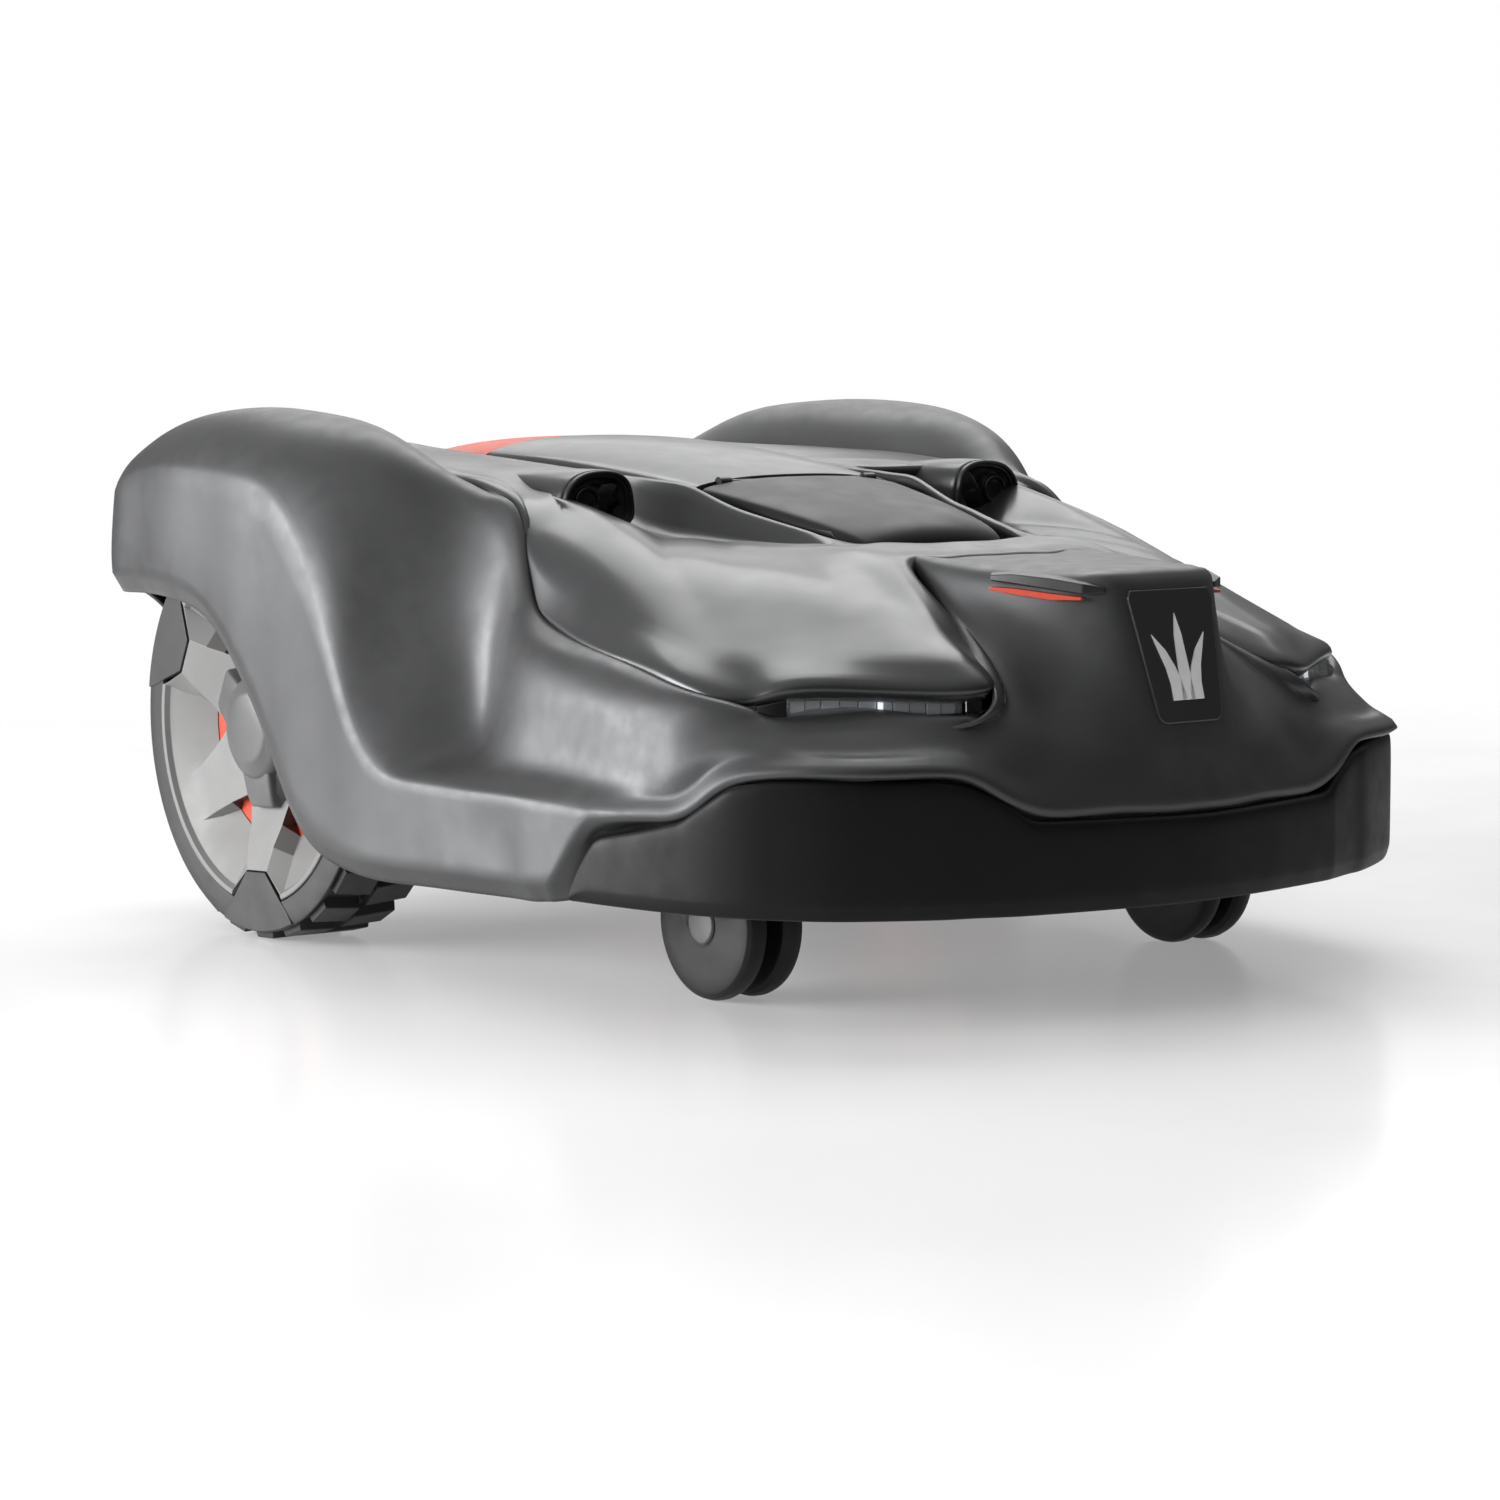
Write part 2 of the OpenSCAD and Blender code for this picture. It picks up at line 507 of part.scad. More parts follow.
// Cutting system
module cutter_carriage() color("#34363a") {
    difference() {
        union() {
            translate([0, cutter_y, 110]) cylinder(r = 49, h = 50);
            translate([-12, cutter_y + 44, 150]) cube([24, 50, 10]);
            translate([0, 62, 148]) cylinder(r = 12, h = 17);
        }
        translate([0, cutter_y, 104]) cylinder(r = 40, h = 52);
        translate([0, 62, 100]) cylinder(r = 4 + bearing_gap, h = 100);
    }
}
module cutter_motor() color("#8a8c8f") {
    difference() {
        translate([0, cutter_y, 76]) cylinder(r = 39.5, h = 78);
        translate([0, cutter_y, 70]) cylinder(r = 5 + bearing_gap, h = 60);
    }
}
module cutter_shaft() color("#c4c6c8") {
    translate([0, cutter_y, 55]) cylinder(r = 5, h = 70);
}
module blade_disc() color("#b04a34") {
    translate([0, cutter_y, disc_z]) difference() {
        union() {
            cylinder(r = disc_r, h = disc_t);
            cylinder(r = 18, h = 10);
        }
        translate([0, 0, -1]) cylinder(r = 5.2, h = 30);
        for (a = [30:60:330]) rotate([0, 0, a]) translate([55, 0, -1]) cylinder(r = 12, h = 10);
        for (a = [0:120:240]) rotate([0, 0, a]) translate([blade_pivot_r, 0, -1]) cylinder(r = 2.6, h = 10);
    }
}
module blade_screws() color("#b9bbbd") {
    translate([0, cutter_y, 0]) for (a = [0:120:240]) rotate([0, 0, a]) translate([blade_pivot_r, 0, 0]) {
        translate([0, 0, blade_z - 1.8]) cylinder(r = 5, h = 1.5);
        translate([0, 0, blade_z - 0.5]) cylinder(r = 2.5, h = 8);
    }
}
module blade(angle) color("#cfd1d3") {
    translate([0, cutter_y, 0]) rotate([0, 0, angle]) translate([blade_pivot_r, 0, blade_z]) difference() {
        translate([-9, -9, 0]) cube([9 + blade_reach, 18, 0.8]);
        translate([0, 0, -1]) cylinder(r = 2.5 + bearing_gap, h = 3);
    }
}
module blade_1() { blade(0); }
module blade_2() { blade(120); }
module blade_3() { blade(240); }

module skid_plate() color("#2a2b2d") {
    translate([0, cutter_y, 49]) difference() {
        union() {
            cylinder(r1 = skid_r - 3, r2 = skid_r, h = 2);
            translate([0, 0, 2]) cylinder(r = skid_r, h = 2);
        }
        translate([0, 0, -1]) cylinder(r = 11, h = 10);
    }
}
module skid_bearing() color("#c4c6c8") {
    translate([0, cutter_y, 49.5]) difference() {
        cylinder(r = 11 - bearing_gap, h = 3);
        translate([0, 0, 1]) cylinder(r = 5 + bearing_gap, h = 5);
    }
    translate([0, cutter_y, 52.5]) difference() {
        cylinder(r = 9, h = 5);
        translate([0, 0, -1]) cylinder(r = 5 + bearing_gap, h = 8);
    }
}

// Casters
// Central leg between the twin wheels, with the swivel stem on top
module caster_fork() color("#2c2d2f") {
    axle_y = swivel_y + caster_trail;
    difference() {
        union() {
            translate([caster_x, swivel_y, 92]) cylinder(r = 5, h = 42);
            translate([caster_x, swivel_y, 86]) cylinder(r = 13, h = 17.5);
            translate([caster_x - 4, 0, 0]) along_x() linear_extrude(8)
                polygon([[swivel_y - 12, 100], [swivel_y - 12, 88], [axle_y - 10, caster_r + 2],
                    [axle_y - 6, caster_r - 8], [axle_y + 6, caster_r - 8], [axle_y + 10, caster_r + 2],
                    [swivel_y + 12, 90], [swivel_y + 12, 100]]);
        }
        translate([caster_x - 20, axle_y, caster_r]) along_x() cylinder(r = 4 + bearing_gap, h = 40);
    }
}
module caster_fork_left() { caster_fork(); }
module caster_fork_right() { mirror([1, 0, 0]) caster_fork(); }

// Twin wheels on one axle
module caster_wheel() {
    color("#2f3031") translate([caster_x, swivel_y + caster_trail, caster_r]) along_x() for (side = [-1, 1]) {
        translate([0, 0, side * 12]) rotate_extrude() polygon([[4.2, -7], [34, -7], [38, -6.4], [40.6, -4.4],
            [42, -1.5], [42, 1.5], [40.6, 4.4], [38, 6.4], [34, 7], [4.2, 7]] * (caster_r / 42));
    }
    color("#9a9c9e") translate([caster_x - 19.5, swivel_y + caster_trail, caster_r])
        along_x() cylinder(r = 4, h = 39);
}
module caster_wheel_left() { caster_wheel(); }
module caster_wheel_right() { mirror([1, 0, 0]) caster_wheel(); }

// Driving wheels
module tyre() color("#2c2d2e") {
    translate([tyre_in, wheel_y, wheel_z]) along_x() {
        rotate_extrude($fn = 96) polygon([[98, 0], [112, 0], [wheel_r - 7, 8], [wheel_r - 7, tyre_w - 8],
            [112, tyre_w],
            [98, tyre_w]]);
        for (i = [0:lug_count - 1]) rotate([0, 0, i * 360 / lug_count])
            for (side = [0, 1]) rotate([0, 0, side * 180 / lug_count])
                translate([wheel_r - 8, -5, side * tyre_w / 2 + 4])
                    cube([8 - SMALL - 0.1, 10, tyre_w / 2 - 8]);
    }
}
module tyre_left() { tyre(); }
module tyre_right() { mirror([1, 0, 0]) tyre(); }

// Dished wheel cover with six spokes and windows between them
module wheel_cover() color("#d9dadb") {
    translate([tyre_in, wheel_y, wheel_z]) along_x() difference() {
        rotate_extrude($fn = 96) polygon([[14, 42], [34, 42], [40, 48], [88, 54], [97.8, 54], [97.8, 4],
            [94, 4], [94, 46],
            [88, 48], [44, 42], [36, 36], [14, 36]]);
        for (a = [0:60:300])
            rotate([0, 0, a]) linear_extrude(100) polygon([[46, -9], [66, -13], [66, 13], [46, 9]]);
    }
}
module wheel_cover_left() { wheel_cover(); }
module wheel_cover_right() { mirror([1, 0, 0]) wheel_cover(); }

module brake_disc() color("#e0604a") {
    translate([tyre_in, wheel_y, wheel_z]) along_x() difference() {
        cylinder(r = 90, h = 4);
        translate([0, 0, -1]) cylinder(r = 14, h = 10);
    }
    translate([tyre_in + 4.1, wheel_y, wheel_z]) along_x() difference() {
        cylinder(r = 34, h = 31);
        translate([0, 0, -1]) cylinder(r = 14, h = 40);
    }
}
module brake_disc_left() { brake_disc(); }
module brake_disc_right() { mirror([1, 0, 0]) brake_disc(); }

// Three-armed cap over the axle's end
module hub_cap() color("#55585b") {
    translate([tyre_in + 42.2, wheel_y, wheel_z]) along_x() difference() {
        union() {
            cylinder(r = 24, h = 15);
            translate([0, 0, 15]) cylinder(r1 = 24, r2 = 20, h = 3);
            for (a = [30:120:270]) rotate([0, 0, a]) translate([0, -8, 6.4]) cube([42, 16, 6]);
        }
        translate([0, 0, -1]) cylinder(r = 13, h = 11);
    }
}
module hub_cap_left() { hub_cap(); }
module hub_cap_right() { mirror([1, 0, 0]) hub_cap(); }

module wheel_axle() color("#a7a9ab") {
    translate([146, wheel_y, wheel_z]) along_x() cylinder(r = 8, h = 103);
    translate([tyre_in - 6, wheel_y, wheel_z]) along_x() difference() {
        cylinder(r = 13.8, h = 47);
        translate([0, 0, -1]) cylinder(r = 8.02, h = 60);
    }
}
module wheel_axle_left() { wheel_axle(); }
module wheel_axle_right() { mirror([1, 0, 0]) wheel_axle(); }

// Floating shell
module body_shell() color("#6a6c6e") {
    ring_skin(denser(ring(BODY)), shell_wall);
}

// The cover, with the pockets that the sensor pods stand in
module top_cover() color("#7c7e80") {
    difference() {
        ring_skin(denser(ring(COVER)), cover_wall);
        both_sides() translate(pod_place - [15.5, 10.5, 4]) cube([31, 31, 40]);
    }
}

// Section of the bumper at one station, seen along the bumper
function bumper_section(p, out) = let(o = [p[0], p[1], bumper_z], d = bumper_depth, h = p[2] - bumper_z,
        k = min(1, h / 30)) [
    o + [0, 0, h] - out * 1.5, o + [0, 0, h - 2 * k], o + [0, 0, 12 * k], o + [0, 0, 9 * k] - out * 2,
    o - out * 3,
    o - out * d, o + [0, 0, h] - out * d];
module bumper() color("#1d1d1e") {
    half = BUMPER;
    n = len(half);
    line = concat([for (i = [n - 1:-1:1]) mirrored(half[i])], half);
    m = len(line);
    swept([for (i = [0:m - 1]) let(along = line[min(i + 1, m - 1)] - line[max(i - 1, 0)])
        bumper_section(line[i], unit([along[1], -along[0], 0]))]);
}

// A strip between two slanted ends, for the lamps
module lamp_strip(inset, height, low) {
    both_sides() hull() {
        translate([112, -304 + inset, low]) cube([1, 5, height]);
        translate([196, -250 + inset, low]) cube([1, 5, height]);
    }
}
module headlamp_lenses() color([0.85, 0.9, 0.92, 0.6]) {
    lamp_strip(0, 8, 158.5);
}
module headlamp_reflectors() color("#d9dadb") {
    lamp_strip(9, 7, 159.5);
}

module nose_plate() color("#5a5c5e") {
    translate([0, -337.4, 186]) rotate([-15.6, 0, 0]) translate([-22, -1.6, -29]) cube([44, 1.4, 58]);
}

// Hoods over the charging contacts on the nose
module contact_hoods() color("#222324") {
    both_sides() hull() {
        translate([66, -262, 226]) cube([6, 4, 6]);
        translate([49, -306, 224]) cube([4, 4, 5]);
    }
}
module contact_strips() color("#e2573f") {
    both_sides() hull() {
        translate([72, -268, 221]) cube([2, 8, 3]);
        translate([58, -300, 216]) cube([2, 4, 3]);
    }
}

// Ultrasonic sensors in their hoods on the bonnet
module sensor_housings() color("#262728") {
    both_sides() translate(pod_place) difference() {
        translate([-15, -10, -2]) cube([30, 30, 24]);
        translate([0, -12, 11]) rotate([-90, 0, 0]) cylinder(r = 9.5, h = 12);
    }
}
module sensor_transducers() color("#111213") {
    both_sides() translate(pod_place + [0, -9, 11]) rotate([-90, 0, 0]) cylinder(r = 9, h = 8);
}

chassis_tub();
upper_chassis();
chassis_seal();
battery_pack();
main_circuit_board();
display_panel();
keypad_panel();
wheel_motor_left();
wheel_motor_right();
caster_bushes();
post_bases();
hatch_pin();
chassis_screws();
height_motor();
front_fascia();
height_screw();
cutter_carriage();
cutter_motor();
blade_disc();
cutter_shaft();
blade_screws();
blade_1();
blade_2();
blade_3();
skid_plate();
skid_bearing();
caster_fork_left();
caster_fork_right();
caster_wheel_left();
caster_wheel_right();
tyre_left();
tyre_right();
wheel_cover_left();
wheel_cover_right();
brake_disc_left();
brake_disc_right();
hub_cap_left();
hub_cap_right();
wheel_axle_left();
wheel_axle_right();
post_stems();
post_heads();
body_shell();
top_cover();
bumper();
headlamp_lenses();
headlamp_reflectors();
nose_plate();
contact_hoods();
contact_strips();
sensor_housings();
sensor_transducers();
cover_sockets();
hatch();
stop_button();
key_up();
key_down();
key_ok();
key_back();
key_start();
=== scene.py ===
"""Robotic lawn mower: the looks of the part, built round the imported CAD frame, in that frame and in metres."""

import math

import bmesh
import bpy
import numpy as np
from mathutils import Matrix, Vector


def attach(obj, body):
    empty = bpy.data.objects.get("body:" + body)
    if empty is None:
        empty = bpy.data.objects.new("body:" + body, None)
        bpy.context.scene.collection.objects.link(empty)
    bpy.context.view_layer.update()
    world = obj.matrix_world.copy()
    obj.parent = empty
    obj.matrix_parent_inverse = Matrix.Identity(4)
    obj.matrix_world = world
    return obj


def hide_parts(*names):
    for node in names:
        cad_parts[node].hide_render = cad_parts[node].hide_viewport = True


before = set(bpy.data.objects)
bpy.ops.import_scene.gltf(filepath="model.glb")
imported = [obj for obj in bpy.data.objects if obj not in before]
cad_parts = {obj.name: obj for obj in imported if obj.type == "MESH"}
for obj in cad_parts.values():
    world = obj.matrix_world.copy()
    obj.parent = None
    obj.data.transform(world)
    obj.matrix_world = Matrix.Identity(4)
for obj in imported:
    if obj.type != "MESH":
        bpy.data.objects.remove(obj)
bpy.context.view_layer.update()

MM = 0.001
SIDES = {"left": 1, "right": -1}

# Driving sizes as in the CAD source. These and all tables below are in millimetres, and angles are in degrees.
SHELL_WALL = 2.5
SKIN_WALL = 2
BUMPER_LOW = 59
BUMPER_DEPTH = 7
WHEEL_CENTRE = (172, 125)
WHEEL_TURN = 3.5
TYRE_R = 125
SIDEWALL_R = 121.5
COVER_R = 104
LUGS = 24
CASTER = (168, -168, 42)
CASTER_R = 42


# ---------------------------------------------------------------- materials
def join(tree, node, inputs):
    """Gives a node its inputs: each is a constant, or another node's output to link."""
    for socket, value in inputs.items():
        if isinstance(value, bpy.types.NodeSocket):
            tree.links.new(value, node.inputs[socket])
        else:
            node.inputs[socket].default_value = value


def added(tree, kind, inputs={}):
    """A new node with its inputs."""
    node = tree.nodes.new(kind)
    join(tree, node, inputs)
    return node


def nodes_of(name):
    """A new material with its node tree and its shader."""
    material = bpy.data.materials.new(name)
    material.use_nodes = True
    tree = material.node_tree
    return material, tree, tree.nodes["Principled BSDF"]


def noise(tree, scale, detail=3.0, stretch=None):
    """Noise that belongs to the object, in its own coordinates."""
    place = added(tree, "ShaderNodeTexCoord").outputs["Object"]
    if stretch:
        place = added(tree, "ShaderNodeMapping", {"Vector": place, "Scale": stretch}).outputs["Vector"]
    return added(tree, "ShaderNodeTexNoise", {"Vector": place, "Scale": scale, "Detail": detail}).outputs["Fac"]


def ramp(tree, factor, low, high, start=0.3, end=0.7):
    """Blends from one colour to another as the factor rises."""
    blend = added(tree, "ShaderNodeValToRGB", {"Fac": factor})
    for stop, place, colour in zip(blend.color_ramp.elements, (start, end), (low, high)):
        stop.position = place
        stop.color = (*colour, 1)
    return blend.outputs["Color"]


def ranged(tree, factor, low, high, start=0.3, end=0.7, interpolation="LINEAR"):
    """Brings the factor from the range between start and end to that between low and high."""
    remap = added(tree, "ShaderNodeMapRange", {"Value": factor, "From Min": start, "From Max": end, "To Min": low,
                                               "To Max": high})
    remap.interpolation_type = interpolation
    return remap.outputs["Result"]


def bump(tree, height, strength, distance):
    """A surface raised by the height, distance metres at most."""
    raised = added(tree, "ShaderNodeBump", {"Height": height, "Strength": strength, "Distance": distance})
    return raised.outputs["Normal"]


def moulded(name, colour, roughness, grain=900, depth=0.00004, strength=0.35, spread=0.06, mottle=35,
            metallic=0.0, coat=0.0, specular=0.5):
    """Moulded plastic, paint, rubber or metal: a fine grain in the surface, which is depth metres high, and a slight
    unevenness of tone and gloss in patches; a larger mottle makes smaller patches."""
    material, tree, shader = nodes_of(name)
    low = [c * (1 - spread) for c in colour]
    high = [min(1, c * (1 + spread)) for c in colour]
    join(tree, shader, {
        "Base Color": ramp(tree, noise(tree, mottle), low, high),
        "Roughness": ranged(tree, noise(tree, mottle * 2.3), roughness * 0.9, min(1, roughness * 1.1)),
        "Metallic": metallic, "Coat Weight": coat, "Coat Roughness": 0.12, "Specular IOR Level": specular,
        "Normal": bump(tree, noise(tree, grain, 2.0), strength, depth)})
    return material


def turned(name, colour, roughness):
    """Machined metal with fine drawn lines."""
    material, tree, shader = nodes_of(name)
    lines = noise(tree, 60, 3.0, (1, 1, 40))
    join(tree, shader, {"Base Color": ramp(tree, lines, [c * 0.9 for c in colour], colour),
                        "Roughness": ranged(tree, lines, roughness * 0.8, roughness * 1.25),
                        "Metallic": 1.0, "Normal": bump(tree, lines, 0.15, 0.00003)})
    return material


def clear_plastic(name):
    """Clear polycarbonate of the lamp lenses."""
    material, tree, shader = nodes_of(name)
    join(tree, shader, {"Base Color": (0.93, 0.96, 0.98, 1), "Transmission Weight": 0.92, "IOR": 1.2,
                        "Roughness": ranged(tree, noise(tree, 80), 0.02, 0.06),
                        "Normal": bump(tree, noise(tree, 120, 1.0), 0.05, 0.00003)})
    return material


def circuit_board(name):
    """Green solder mask with faint tracks."""
    material, tree, shader = nodes_of(name)
    tracks = noise(tree, 90, 4.0, (1, 6, 1))
    join(tree, shader, {"Base Color": ramp(tree, tracks, (0.006, 0.09, 0.03), (0.02, 0.2, 0.08), 0.48, 0.52),
                        "Roughness": 0.35, "Normal": bump(tree, tracks, 0.3, 0.00005)})
    return material


def glowing(name, colour, power):
    """A light-emitting surface with a faint cell pattern."""
    material, tree, shader = nodes_of(name)
    tone = ramp(tree, noise(tree, 400), [c * 0.8 for c in colour], colour)
    join(tree, shader, {"Base Color": tone, "Emission Color": tone, "Emission Strength": power})
    return material


# Each row of numbers: colour, roughness, grain, its depth and strength, spread, mottle, metallic, coat, specular
BODY_GREY = moulded("body_grey", (0.07, 0.071, 0.073), 0.45, 1100, 0.00005, 0.5, 0.05, 35, 0.55)
COVER_GREY = moulded("cover_grey", (0.06, 0.061, 0.063), 0.34, 1500, 0.00002, 0.15, 0.03, 20, 0.55, 0.1)
HATCH_GREY = moulded("hatch_grey", (0.07, 0.0715, 0.074), 0.33, 500, 0.00001, 0.03, 0.02, 20, 0.5, 0.1)
# The fascia shares the hatch's slot; its grey is a darker copy of the hatch grey, painted shade on the front-facing
# fascia
FASCIA_SHADED_GREY = moulded("fascia_painted_shade_grey", (0.022, 0.0225, 0.023), 0.42, 1500, 0.00001, 0.06, 0.02, 20, 0.1, 0.0, 0.2)
BUMPER_BLACK = moulded("bumper_black", (0.003, 0.003, 0.0032), 0.5, 700, 0.00006, 0.4, 0.15, 25, 0.0, 0.0, 0.22)
TYRE_RUBBER = moulded("tyre_rubber", (0.014, 0.014, 0.0147), 0.52, 800, 0.00008, 0.45, 0.15, 30)
# Caster tyres share the tyre slot; their darker copy of the rubber is painted shade under the machine
CASTER_SHADED_RUBBER = moulded("caster_painted_shade_rubber", (0.006, 0.006, 0.0064), 0.5, 800, 0.00006, 0.4, 0.15, 30, 0.0, 0.0, 0.3)
TREAD_RUBBER = moulded("tread_rubber", (0.016, 0.016, 0.017), 0.62, 500, 0.0001, 0.5, 0.25, 30)
DARK_PLASTIC = moulded("dark_plastic", (0.02, 0.0205, 0.021), 0.4, 700, 0.00005, 0.35, 0.12)
BLACK_GLOSS = moulded("black_gloss", (0.008, 0.008, 0.009), 0.16, 500, 0.00001, 0.08, 0.1, 20, 0.0, 0.5)
SILVER = moulded("wheel_silver", (0.17, 0.168, 0.166), 0.5, 1800, 0.00001, 0.1, 0.02, 25)
HUB_GREY = moulded("hub_grey", (0.085, 0.086, 0.088), 0.42, 1000, 0.00004, 0.3, 0.05)
ORANGE = moulded("signal_orange", (0.62, 0.075, 0.038), 0.42, 900, 0.00003, 0.25, 0.05, 35, 0.0, 0.0, 0.25)
LENS = clear_plastic("clear_lens")
MIRROR = moulded("mirror_finish", (0.86, 0.87, 0.88), 0.2, 300, 0.00003, 0.2, 0.03, 30, 0.5)
LED = glowing("led_light", (0.9, 0.95, 1.0), 1.2)
STEEL = turned("steel", (0.62, 0.63, 0.64), 0.3)
MOTOR_METAL = turned("motor_metal", (0.3, 0.3, 0.31), 0.42)
BUSH = moulded("bush_plastic", (0.62, 0.6, 0.52), 0.5)
BOARD = circuit_board("board_green")
BATTERY = moulded("battery_blue", (0.02, 0.035, 0.07), 0.45)
KEY_GREY = moulded("key_grey", (0.42, 0.43, 0.44), 0.5)
GLASS = moulded("display_glass", (0.006, 0.009, 0.011), 0.08, 200, 0.00001, 0.03)
BADGE = moulded("badge_white", (0.97, 0.97, 0.96), 0.35, 900, 0.00002, 0.15)
CHASSIS = moulded("chassis_plastic", (0.035, 0.036, 0.038), 0.52, 600, 0.00006, 0.4, 0.12)


# ---------------------------------------------------------------- mesh helpers
def piece(name, points, faces, body, slot, materials, stands_for=(), closed=True):
    """A mesh from points in millimetres, riding on a body of the frame. A closed one is welded and its faces are
    turned outwards."""
    mesh = bpy.data.meshes.new(name)
    mesh.from_pydata([Vector(p) * MM for p in points], [], faces)
    if closed:
        work = bmesh.new()
        work.from_mesh(mesh)
        bmesh.ops.remove_doubles(work, verts=work.verts, dist=0.00001)
        bmesh.ops.recalc_face_normals(work, faces=work.faces)
        work.to_mesh(mesh)
        work.free()
    mesh.shade_smooth()
    for material in materials if isinstance(materials, list) else [materials]:
        mesh.materials.append(material)
    thing = bpy.data.objects.new(name, mesh)
    bpy.context.scene.collection.objects.link(thing)
    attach(thing, body)
    if stands_for:
        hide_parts(*stands_for)
    return thing


def subdivided(thing, levels=2):
    """A smooth surface through the cage of the mesh."""
    modifier = thing.modifiers.new("Subdivision", "SUBSURF")
    modifier.levels = levels
    modifier.render_levels = levels
    modifier.boundary_smooth = "PRESERVE_CORNERS"
    return thing


def walled(thing, thickness):
    """An open skin with a wall behind it, in millimetres."""
    modifier = thing.modifiers.new("Wall", "SOLIDIFY")
    modifier.thickness = thickness * MM
    modifier.offset = -1
    modifier.use_even_offset = False
    return thing


def rounded(thing, width, segments=3, angle=30):
    """Rounded edges, in millimetres, where faces meet at more than the angle; the flats stay flat in the shading."""
    modifier = thing.modifiers.new("Rounded", "BEVEL")
    modifier.width = width * MM
    modifier.segments = segments
    modifier.limit_method = "ANGLE"
    modifier.angle_limit = math.radians(angle)
    modifier.harden_normals = True
    return thing


def creased(thing, weight):
    """Creases each edge by weight(a, b) of its two vertex numbers."""
    crease = thing.data.attributes.new("crease_edge", "FLOAT", "EDGE")
    for edge in thing.data.edges:
        crease.data[edge.index].value = weight(*sorted(edge.vertices))
    return thing


def grid_faces(rows, columns, closed_rows=False, closed_columns=False):
    """Four-sided faces between the points of a grid, stored row after row."""
    faces = []
    for i in range(rows if closed_rows else rows - 1):
        for j in range(columns if closed_columns else columns - 1):
            k, m = (i + 1) % rows, (j + 1) % columns
            faces.append([i * columns + j, i * columns + m, k * columns + m, k * columns + j])
    return faces


def loft(sections):
    """A solid through closed sections that all have the same number of points."""
    rows, columns = len(sections), len(sections[0])
    points = [p for section in sections for p in section]
    faces = grid_faces(rows, columns, False, True)
    faces += [list(range(columns))[::-1], [(rows - 1) * columns + j for j in range(columns)]]
    return points, faces


def prism(outline, low, high):
    """A solid between two copies of an outline; low and high turn a point of the outline into a place."""
    return loft([[low(p) for p in outline], [high(p) for p in outline]])


def spun(profile, steps, place, closed=True):
    """A profile of (radius, along) turned round an axis; place(radius, along, angle) gives the point."""
    points = [place(r, along, 2 * math.pi * i / steps) for i in range(steps) for r, along in profile]
    return points, grid_faces(steps, len(profile), True, closed)


def joined(*parts):
    """Several point and face lists as one."""
    points, faces = [], []
    for more_points, more_faces in parts:
        faces += [[k + len(points) for k in face] for face in more_faces]
        points += more_points
    return points, faces


def on_side(side, made):
    """The same solid on the left (1), or mirrored to the right (-1)."""
    points, faces = made
    return [(side * p[0], p[1], p[2]) for p in points], [f if side > 0 else f[::-1] for f in faces]


def moulding(name, made, body, slot, finish, stands_for, *edge):
    """A closed piece with rounded edges, whose numbers are those of rounded."""
    rounded(piece(name, *made, body, slot, finish, stands_for), *edge)


def lerp(a, b, t):
    """The place a share t of the way from a to b."""
    return [p + (q - p) * t for p, q in zip(a, b)]


def ring_of(ribs):
    """A closed ring of ribs from those of one side, whose first and last stand on the middle plane."""
    half = np.array(ribs, float)
    other = half[-2:0:-1] * np.array([-1, 1, 1])
    return np.concatenate([half, other])


# Share of its stiffness that a rail has where it keeps closer to the ribs, and the tension of the taut heights
CLOSE_SHARE = 0.05
TENSION = 0.003


def faired(ring, count, stiffness, close_to, taut=()):
    """A ring of evenly spaced ribs whose spline passes by the given ribs, each rail as stiff as asked.
    A rail keeps closer to them up to its own rib of close_to, and there the heights of the taut rails run straight."""
    steps = np.linalg.norm(np.roll(ring, -1, 0) - ring, axis=2).mean(1)
    places = (np.cumsum(steps) - steps) / steps.sum() * count
    spline = np.zeros((len(ring), count))
    for row, place in zip(spline, places):
        j, u = int(place), place % 1
        row[(j - 1) % count] += (1 - u) ** 3 / 6
        row[j % count] += (3 * u ** 3 - 6 * u ** 2 + 4) / 6
        row[(j + 1) % count] += (-3 * u ** 3 + 3 * u ** 2 + 3 * u + 1) / 6
        row[(j + 2) % count] += u ** 3 / 6
    old_numbers = np.interp(np.arange(count), np.append(places, count), np.arange(len(ring) + 1))
    numbers = np.minimum(old_numbers, len(ring) - old_numbers)
    one = np.eye(count)
    stretch = np.roll(one, -1, 0) - one
    jerk = np.roll(one, -1, 0) - 3 * one + 3 * np.roll(one, 1, 0) - np.roll(one, 2, 0)
    rails = np.zeros((count,) + ring.shape[1:])
    for j in range(ring.shape[1]):
        bend = np.where(numbers < close_to[j], CLOSE_SHARE, 1) * stiffness[j] + 1e-5
        smooth = jerk.T @ (bend[:, None] * jerk)
        rails[:, j] = np.linalg.solve(spline.T @ spline + smooth, spline.T @ ring[:, j])
        if j in taut:
            front = numbers < close_to[j]
            straight = stretch.T @ (TENSION * front[:, None] * stretch)
            straight += jerk.T @ ((~front * bend + 1e-6)[:, None] * jerk)
            rails[:, j, 2] = np.linalg.solve(spline.T @ spline + straight, spline.T @ ring[:, j, 2])
    return rails, numbers


def fitted(target, sharp, rounds=3):
    """Moves the rails of a cage so that its subdivided surface passes by the target. sharp holds the creases.
    Each round takes up most of what is left between the target and the limit of the subdivision."""
    cage = target.copy()
    soft = (1 - sharp)[:, :, None]
    for _ in range(rounds):
        before = np.concatenate([cage[:, :1], cage[:, :-1]], 1)
        after = np.concatenate([cage[:, 1:], cage[:, -1:]], 1)
        limit = cage + soft * (before + after - 2 * cage) / 6
        cage = cage + 0.8 * (target - limit)
    return cage


